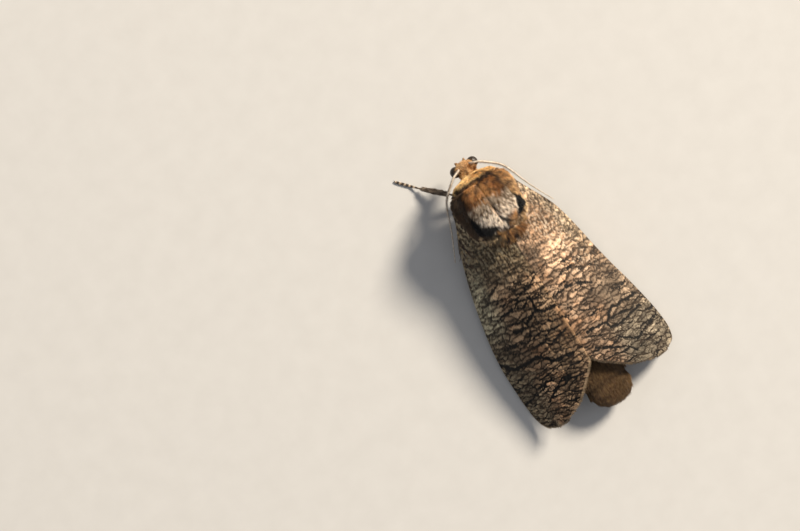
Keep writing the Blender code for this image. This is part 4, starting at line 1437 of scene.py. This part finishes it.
def forewing_colour(side, across, over, station, pattern):
    """The forewing's colours: its ground, pale and dark flecks, pale lines, and the cracks over them."""
    reach = np.abs(over)
    base = ease(20.0, 13.0, station)
    blotch = layered_noise(station * 0.35, reach * 0.35, seed=31)
    speck = layered_noise(station * 3.8, reach * 3.8, seed=33)
    streak = layered_noise(station * 2.4 + 0.4 * blotch, reach * 0.7, seed=34)
    fleck = soft_noise(station * 3.6, reach * 2.4, seed=39) * (1 - base)
    fleck = fleck + soft_noise(station * 1.9, reach * 4.8, seed=42) * base
    dash = soft_noise(station * 3.4 + blotch, reach * 1.2, seed=40) * (1 - base)
    dash = dash + soft_noise(station * 1.5 + blotch, reach * 4.4, seed=43) * base
    costal = ease(0.60, 0.90, across + 0.12 * blotch)
    tones = WING_TONES_SHADED_LEFT[side]
    if side == "left":
        colour = mix(tones["plain"], tones["warm"], ease(-0.1, 0.7, blotch + 0.5 * streak))
        colour = mix(colour, tones["base"], 0.85 * base)
        colour = mix(colour, tones["costa"], 0.80 * costal * band(14.0, 25.0, 2.5, station))
        colour = mix(colour, tones["tip"], 0.60 * costal * ease(24.0, 29.0, station))
        pale_fleck = 0.08 + 0.60 * costal + 0.60 * base
        dark_fleck = 0.12 + 0.50 * costal + 0.80 * base
    else:
        outer = ease(18.0, 27.0, station + 1.5 * blotch)
        colour = mix(tones["plain"], tones["warm"], ease(-0.2, 0.6, blotch + 0.5 * streak))
        colour = mix(colour, tones["base"], 0.8 * base)
        colour = mix(colour, tones["outer"], 0.8 * outer * ease(3.5, 8.0, reach))
        colour = mix(colour, tones["tip"], 0.9 * ease(29.5, 33.5, station) * ease(3.0, 6.5, reach))
        colour = mix(colour, tones["costa"], 0.8 * costal * ease(24.0, 16.0, station))
        field = band(0.42, 0.86, 0.12, across) * band(12.0, 23.0, 2.0, station)
        pale_fleck = 0.08 + 0.40 * base + 0.60 * field
        dark_fleck = 0.12 + 0.42 * base + 0.25 * costal
    # plates lighter in their domed middles and darker towards the cracks: partly their paler middles, partly
    # painted shading of the relief
    light = 0.34 + 0.80 * pattern["plate"] ** 1.5 + 0.10 * (pattern["grain"] - 0.5) + 0.72 * pattern["dome"]
    light = light * (1 + (0.16 + 0.5 * base + 0.25 * costal) * speck + 0.20 * streak)
    # the clouds carry painted light and shade as well as the wing's own clouding
    cloud_and_light = clouding_and_painted_light(side, station, reach)[:, None]
    colour = colour * cloud_and_light * np.clip(light, 0.12, None)[:, None] ** WING_CONTRAST[side]
    pale = ease(0.05, 0.65, fleck + 0.7 * speck + 0.3 * pattern["plate"] - 0.1)
    colour = mix(colour, cloud_and_light * tones["fleck"], pale_fleck * pale)
    dark = ease(0.1, 0.6, -0.6 * fleck + 0.7 * dash - 0.4 * speck)
    colour = mix(colour, WING_DARK_FLECK, dark_fleck * dark)
    colour = mix(colour, WING_LINE, ridge_lines(side, across, over, station))
    behind = line_distance(reach, station - 0.2, REAR_FRINGE[side])
    colour = mix(colour, FRINGE_CREAM, 0.9 * ease(0.45, 0.2, behind + 0.3 * fleck))
    seam = ease(0.02, 0.01, across) * band(11.5, 20.0, 0.8, station)
    colour = mix(colour, DARK_BROWN, 0.7 * seam)
    colour = colour * (1 - 0.7 * pattern["fine"])[:, None]
    colour = mix(colour, CRACK_BROWN, 0.92 * pattern["deep"])
    return mix(colour, CRACK_BLACK, 0.97 * pattern["crack"])


PALE_VEINS = (  # on the left wing, as (station, side) points
    ((22.8, 2.4), (26.6, 1.5), (30.0, 0.9)),
    ((24.9, 3.9), (29.0, 2.5), (33.6, 1.0)),
)


def ridge_lines(side, across, over, station):
    """Where the pale lines run: along the ridge of the back, and on two veins of the left wing."""
    broken = 0.75 + 0.5 * soft_noise(station * 2.2, over * 2.2, seed=37)
    pale = 0.55 * ease(0.028, 0.012, across) * band(20.5, 34.0, 1.5, station)
    if side == "left":
        for path in PALE_VEINS:
            distance = line_distance(station, np.abs(over), path)
            pale = np.maximum(pale, 0.8 * ease(0.16, 0.06, distance))
    return np.clip(pale * broken, 0, 1)


def vein_ridges(along, across):
    """Low ridges that run along the wing in gentle waves."""
    ridges = np.zeros_like(along)
    for number in range(9):
        line = 0.06 + 0.11 * number + 0.05 * np.sin(3.0 * along + number)
        ridges = np.maximum(ridges, hump(across - line, 0.012))
    return ridges


def build_forewing(side, finish, scale_coat):
    """One forewing: the marked sheet, its shingled scales and its fringe."""
    kept = {}

    def relief(along, across, over, station):
        pattern = kept["pattern"] = forewing_pattern(side, across, over, station)
        rise = 0.070 * pattern["dome"] - 0.05 * pattern["deep"] + 0.045 * (pattern["plate"] - 0.5)
        rise = rise - 0.02 * pattern["fine"] + 0.04 * vein_ridges(along, across)
        return rise * ease(0, 0.03, np.minimum.reduce([across + 0.01, 1 - across, along + 0.01, 1 - along]))

    name = f"wing_fore_{side}"
    mesh, along, across, flat = wing_sheet(
        name, side, (FOREWING_INNER, FOREWING_OUTER), FOREWING_GRID, FOREWING_DROP[side], relief)
    over, station, _ = flat
    upper = forewing_colour(side, across, over, station, kept["pattern"])
    lower = (1 + 0.3 * layered_noise(station * 2, over * 2, seed=35))[:, None] * WING_BELOW
    store(mesh, "marking", np.concatenate([upper, lower]), "FLOAT_COLOR")
    wing_unwrap(mesh, along, across)
    mesh.materials.append(finish)
    grow_shingles(side, mesh, upper, kept["pattern"]["deep"], scale_coat)
    grow_fringe(side, mesh, upper, scale_coat)
    dress(new_object(name, mesh), "wing_scales", f"forewing_{side}")


SHINGLE_LENGTH, SHINGLE_WIDTH, SHINGLE_SPACING = 0.20, 0.13, 0.079
FRINGE_LENGTH, FRINGE_WIDTH, FRINGE_SPACING = 0.5, 0.06, 0.035


def grow_shingles(side, mesh, colours, deep, material):
    """Flat scales over the upper face, tips towards the wing's outer edge; short ones in the cracks."""
    columns, rows = FOREWING_GRID
    count = columns * rows
    coat = mesh.copy()
    normals = normals_of(coat)
    back = np.array([0.18 * SIDES[side], 1.0, 0.0])
    lie = unit(back - normals * (normals @ back)[:, None])
    store(coat, "coat_lie", lie * 0.99 + normals * 0.14, "FLOAT_VECTOR")
    deep = deep.reshape(columns, rows)
    ahead = np.maximum(deep, np.roll(deep, -1, axis=0))
    store(coat, "coat_length", np.tile(SHINGLE_LENGTH * MM * (1 - 0.45 * ahead.ravel()), 2))
    store(coat, "coat_width", np.full(2 * count, SHINGLE_WIDTH * MM))
    reached = np.roll(colours.reshape(columns, rows, 3), -1, axis=0)
    reached[-1] = reached[-2]
    store(coat, "marking", np.concatenate([reached.reshape(-1, 3), colours]), "FLOAT_COLOR")
    inner = np.zeros((columns, rows))
    inner[1:-1, 2:-2] = 1
    share = np.concatenate([inner.ravel(), np.zeros(count)])
    scales = grow_coat(
        f"scales_fore_{side}", coat, share, SHINGLE, SHINGLE_SPACING,
        ruffle=0.10, tones=0.16, seed=SCALES_SEED + SIDES[side], material=material)
    dress(scales, "wing_scales")


def wing_ring(grid):
    """The points round a grid in order, from its first corner along the inner edge."""
    return np.concatenate([grid[:, 0], grid[-1, 1:], grid[-2::-1, -1], grid[0, -2:0:-1]])


def grow_fringe(side, mesh, colours, material):
    """Fine hair scales that stand out from the wing's hind edge."""
    columns, rows = FOREWING_GRID
    count = columns * rows
    grid = points_of(mesh)[:count].reshape(columns, rows, 3)
    normals = normals_of(mesh)[:count].reshape(columns, rows, 3)
    edge, up = wing_ring(grid), wing_ring(normals)
    onward = np.roll(edge, -1, 0) - np.roll(edge, 1, 0)
    outward = unit(np.cross(onward, unit(up + [0, 0, 1e-3])))
    outward *= np.sign(((edge - grid.mean((0, 1))) * outward).sum())
    strip = np.concatenate([edge - [0, 0, 0.03 * MM], edge - outward * 0.16 * MM - [0, 0, 0.02 * MM]])
    ring = np.arange(len(edge))
    twice = np.tile(ring, 2)
    after = np.roll(ring, -1)
    faces = np.stack([ring, after, after + len(edge), ring + len(edge)], 1)
    host = mesh_of(f"fringe_root_{side}", strip, faces)
    station = terms(edge)[1]
    pale = mix(wing_ring(colours.reshape(columns, rows, 3)), FRINGE_DUN, 0.7)
    pale = pale * (1 + 0.35 * soft_noise(station * 1.1, terms(edge)[0] * 1.1, seed=38))[:, None]
    lie = unit(outward + 0.35 * np.array([0, 1.0, 0]) + [0, 0, -0.05])
    store(host, "coat_lie", lie[twice], "FLOAT_VECTOR")
    store(host, "coat_length", np.full(len(strip), FRINGE_LENGTH * MM))
    store(host, "coat_width", np.full(len(strip), FRINGE_WIDTH * MM))
    store(host, "marking", pale[twice], "FLOAT_COLOR")
    spread = np.stack([MAP_MARGIN + MAP_SPAN * ring / len(edge), 0.49 + 0 * ring, 0 * ring], -1)
    store(host, "unwrap", spread[twice], "FLOAT_VECTOR")
    share = (ease(33.2, 34.6, station) * ease(0.0, 0.5, outward[:, 1] + 0.3))[twice]
    fringe = grow_coat(
        f"fringe_fore_{side}", host, share, HAIR, FRINGE_SPACING,
        ruffle=0.10, tones=0.3, seed=FRINGE_SEED + SIDES[side], material=material)
    dress(fringe, "wing_scales")


def build_hindwing(side, finish):
    """One hindwing, folded close under the forewing and plainer."""

    def relief(along, across, *_):
        return 0.05 * vein_ridges(along, across)

    name = f"wing_hind_{side}"
    mesh, _, _, (over, station, _) = wing_sheet(
        name, side, (HINDWING_INNER, HINDWING_OUTER), HINDWING_GRID, HINDWING_DROP, relief)
    dun = ease(-0.5, 0.6, layered_noise(station, over, seed=36))
    colour = mix(HINDWING_BROWN, HINDWING_DUN, dun)
    store(mesh, "marking", np.concatenate([colour, colour]), "FLOAT_COLOR")
    mesh.materials.append(finish)
    dress(new_object(name, mesh), "hindwing_scales", f"hindwing_{side}")


def build_wings():
    """Both pairs of wings."""
    finish = marked_finish(
        "wing_sheet", grain=5200.0, grain_depth=0.00003, contrast=0.22, roughness=0.8, sheen=0.1)
    scale_coat = marked_finish(
        "wing_shingles", grain=5200.0, grain_depth=0.00001, contrast=0.1, roughness=0.62, sheen=0.1,
        coat=True)
    for side in SIDES:
        build_forewing(side, finish, scale_coat)
        build_hindwing(side, finish)


# ---- feelers -------------------------------------------------------------------------------------------

FEELER_PATH = (  # (side, station, height); the first two lie between the head's inside and the CAD feeler
    (0.88, -0.12, 7.4), (0.98, -0.10, 8.1), (1.25, 0.0, 8.5), (1.75, 0.18, 8.68), (2.4, 0.5, 8.8),
    (3.2, 1.1, 8.55), (4.2, 1.9, 8.0), (5.1, 2.9, 7.2), (5.8, 4.3, 6.4), (6.4, 5.9, 5.7),
    (7.1, 7.6, 5.0), (8.0, 9.5, 4.3), (8.9, 11.3, 3.7),
)
FEELER_STEPS, FEELER_JOINTS = 60, 78
SHAFT_RADIUS, TOOTH_LENGTH = 0.16, 0.42
TOOTH_DROOP = (0, 0.35, -0.55)  # how the teeth lean back and down
FEELER_PALE, FEELER_WORN, FEELER_BARE = (0.62, 0.54, 0.44), (0.42, 0.33, 0.245), (0.10, 0.065, 0.040)


def feeler_tree():
    """A jointed shaft along a line of points, with two rows of short teeth under it."""
    tree = new_tree("feeler")
    given = tree_inputs(tree, [
        ("Path", "Geometry"), ("Tooth", "Object"), ("Joints", "Int"), ("Shaft", "Float"),
        ("Tooth length", "Float"), ("Finish", "Material")]).outputs
    line = add_node(tree, "GeometryNodeMeshToCurve", {"Mesh": given["Path"]})
    rings = math_node(tree, "MULTIPLY", given["Joints"], 4.0)
    smooth = add_node(tree, "GeometryNodeResampleCurve", {"Curve": line.outputs["Curve"], "Count": rings})
    where = add_node(tree, "GeometryNodeSplineParameter").outputs
    ring = math_node(tree, "MODULO", where["Index"], 4.0)
    notch = add_node(tree, "ShaderNodeMapRange", {
        "Value": ring, "From Max": 3.0, "To Min": 0.8, "To Max": 1.12}).outputs["Result"]
    taper = add_node(tree, "ShaderNodeMapRange", {
        "Value": where["Factor"], "To Min": 1.15, "To Max": 0.42}).outputs["Result"]
    radius = math_node(tree, "MULTIPLY", math_node(tree, "MULTIPLY", notch, taper), given["Shaft"])
    profile = add_node(tree, "GeometryNodeCurvePrimitiveCircle", {
        "Resolution": 10, "Radius": 1.0}, mode="RADIUS")
    shaft = add_node(tree, "GeometryNodeCurveToMesh", {
        "Curve": smooth.outputs["Curve"], "Profile Curve": profile.outputs["Curve"], "Scale": radius,
        "Fill Caps": True})
    posts = add_node(tree, "GeometryNodeCurveToPoints", {
        "Curve": line.outputs["Curve"], "Count": given["Joints"]}, mode="COUNT")
    tooth = add_node(tree, "GeometryNodeObjectInfo", {"Object": given["Tooth"]})
    size = math_node(tree, "MULTIPLY", named(tree, "tooth_share"), given["Tooth length"])
    thin = math_node(tree, "MULTIPLY", given["Shaft"], 0.75)
    scale = add_node(tree, "ShaderNodeCombineXYZ", {"X": thin, "Y": thin, "Z": size})
    joined = add_node(tree, "GeometryNodeJoinGeometry")
    tree.links.new(shaft.outputs["Mesh"], joined.inputs["Geometry"])
    for lean in (-1.0, 1.0):
        aim = vector_times(tree, named(tree, "tooth_side", "FLOAT_VECTOR"), lean)
        down = vector_sum(tree, aim, TOOTH_DROOP)
        turn = add_node(tree, "FunctionNodeAlignRotationToVector", {"Vector": down}, axis="Z")
        row = add_node(tree, "GeometryNodeInstanceOnPoints", {
            "Points": posts.outputs["Points"], "Instance": tooth.outputs["Geometry"],
            "Rotation": turn.outputs["Rotation"], "Scale": scale.outputs["Vector"]})
        tree.links.new(row.outputs["Instances"], joined.inputs["Geometry"])
    return finish_tree(tree, joined.outputs["Geometry"], given["Finish"])


def feeler_marking(points, normals):
    """Whitish scales above, with bare brown below."""
    side, station, height = terms(points)
    worn = ease(-0.2, 0.7, soft_noise(side * 3, station * 3, height * 3, seed=41))
    pale = mix(FEELER_PALE, FEELER_WORN, worn)
    return mix(FEELER_BARE, pale, ease(-0.35, 0.25, normals[:, 2]))


def build_feelers():
    """Both antennae, swept back along the shoulders."""
    finish = marked_finish("feeler_scales", grain=5000.0, grain_depth=0.00001, contrast=0.25, roughness=0.65)
    path = np.array(FEELER_PATH)
    shares = np.linspace(0, 1, len(path))
    steps = np.linspace(0, 1, FEELER_STEPS)
    smooth = np.stack([through(list(zip(shares, path[:, axis])), steps) for axis in range(3)], -1)
    for side, sign in SIDES.items():
        points = place(smooth[:, 0] * sign, smooth[:, 1], smooth[:, 2])
        mesh = bpy.data.meshes.new(f"feeler_{side}")
        mesh.from_pydata(points.tolist(), [(i, i + 1) for i in range(len(points) - 1)], [])
        along = unit(np.gradient(points, axis=0))
        across = unit(np.cross(along, (0, 0, 1.0)))
        store(mesh, "tooth_side", across, "FLOAT_VECTOR")
        store(mesh, "tooth_share", np.clip(np.minimum(steps * 8, (1 - steps) * 3), 0.15, 1))
        feeler = run_tree(f"feeler_{side}", mesh, FEELER_TREE, {
            "Tooth": HAIR, "Joints": FEELER_JOINTS, "Shaft": SHAFT_RADIUS * MM,
            "Tooth length": TOOTH_LENGTH * MM, "Finish": finish})
        marking = feeler_marking(points_of(feeler.data), normals_of(feeler.data))
        store(feeler.data, "marking", marking, "FLOAT_COLOR")
        feeler.data.shade_smooth()
        dress(feeler, "feeler", f"antenna_{side}")


# ---- build everything ----------------------------------------------------------------------------------

set_camera()
set_stage()
HAIR = lock_shape("hair_lock", 0.38, 0.5, 0.42)
SHINGLE = scale_shape("wing_scale")
COAT_TREE = coat_tree()
FACET_TREE = facet_tree()
FEELER_TREE = feeler_tree()
LEG_AXES = leg_axes()
build_body()
build_claws()
build_eyes()
build_wings()
build_feelers()
for template in (HAIR, SHINGLE):
    bpy.data.objects.remove(template)
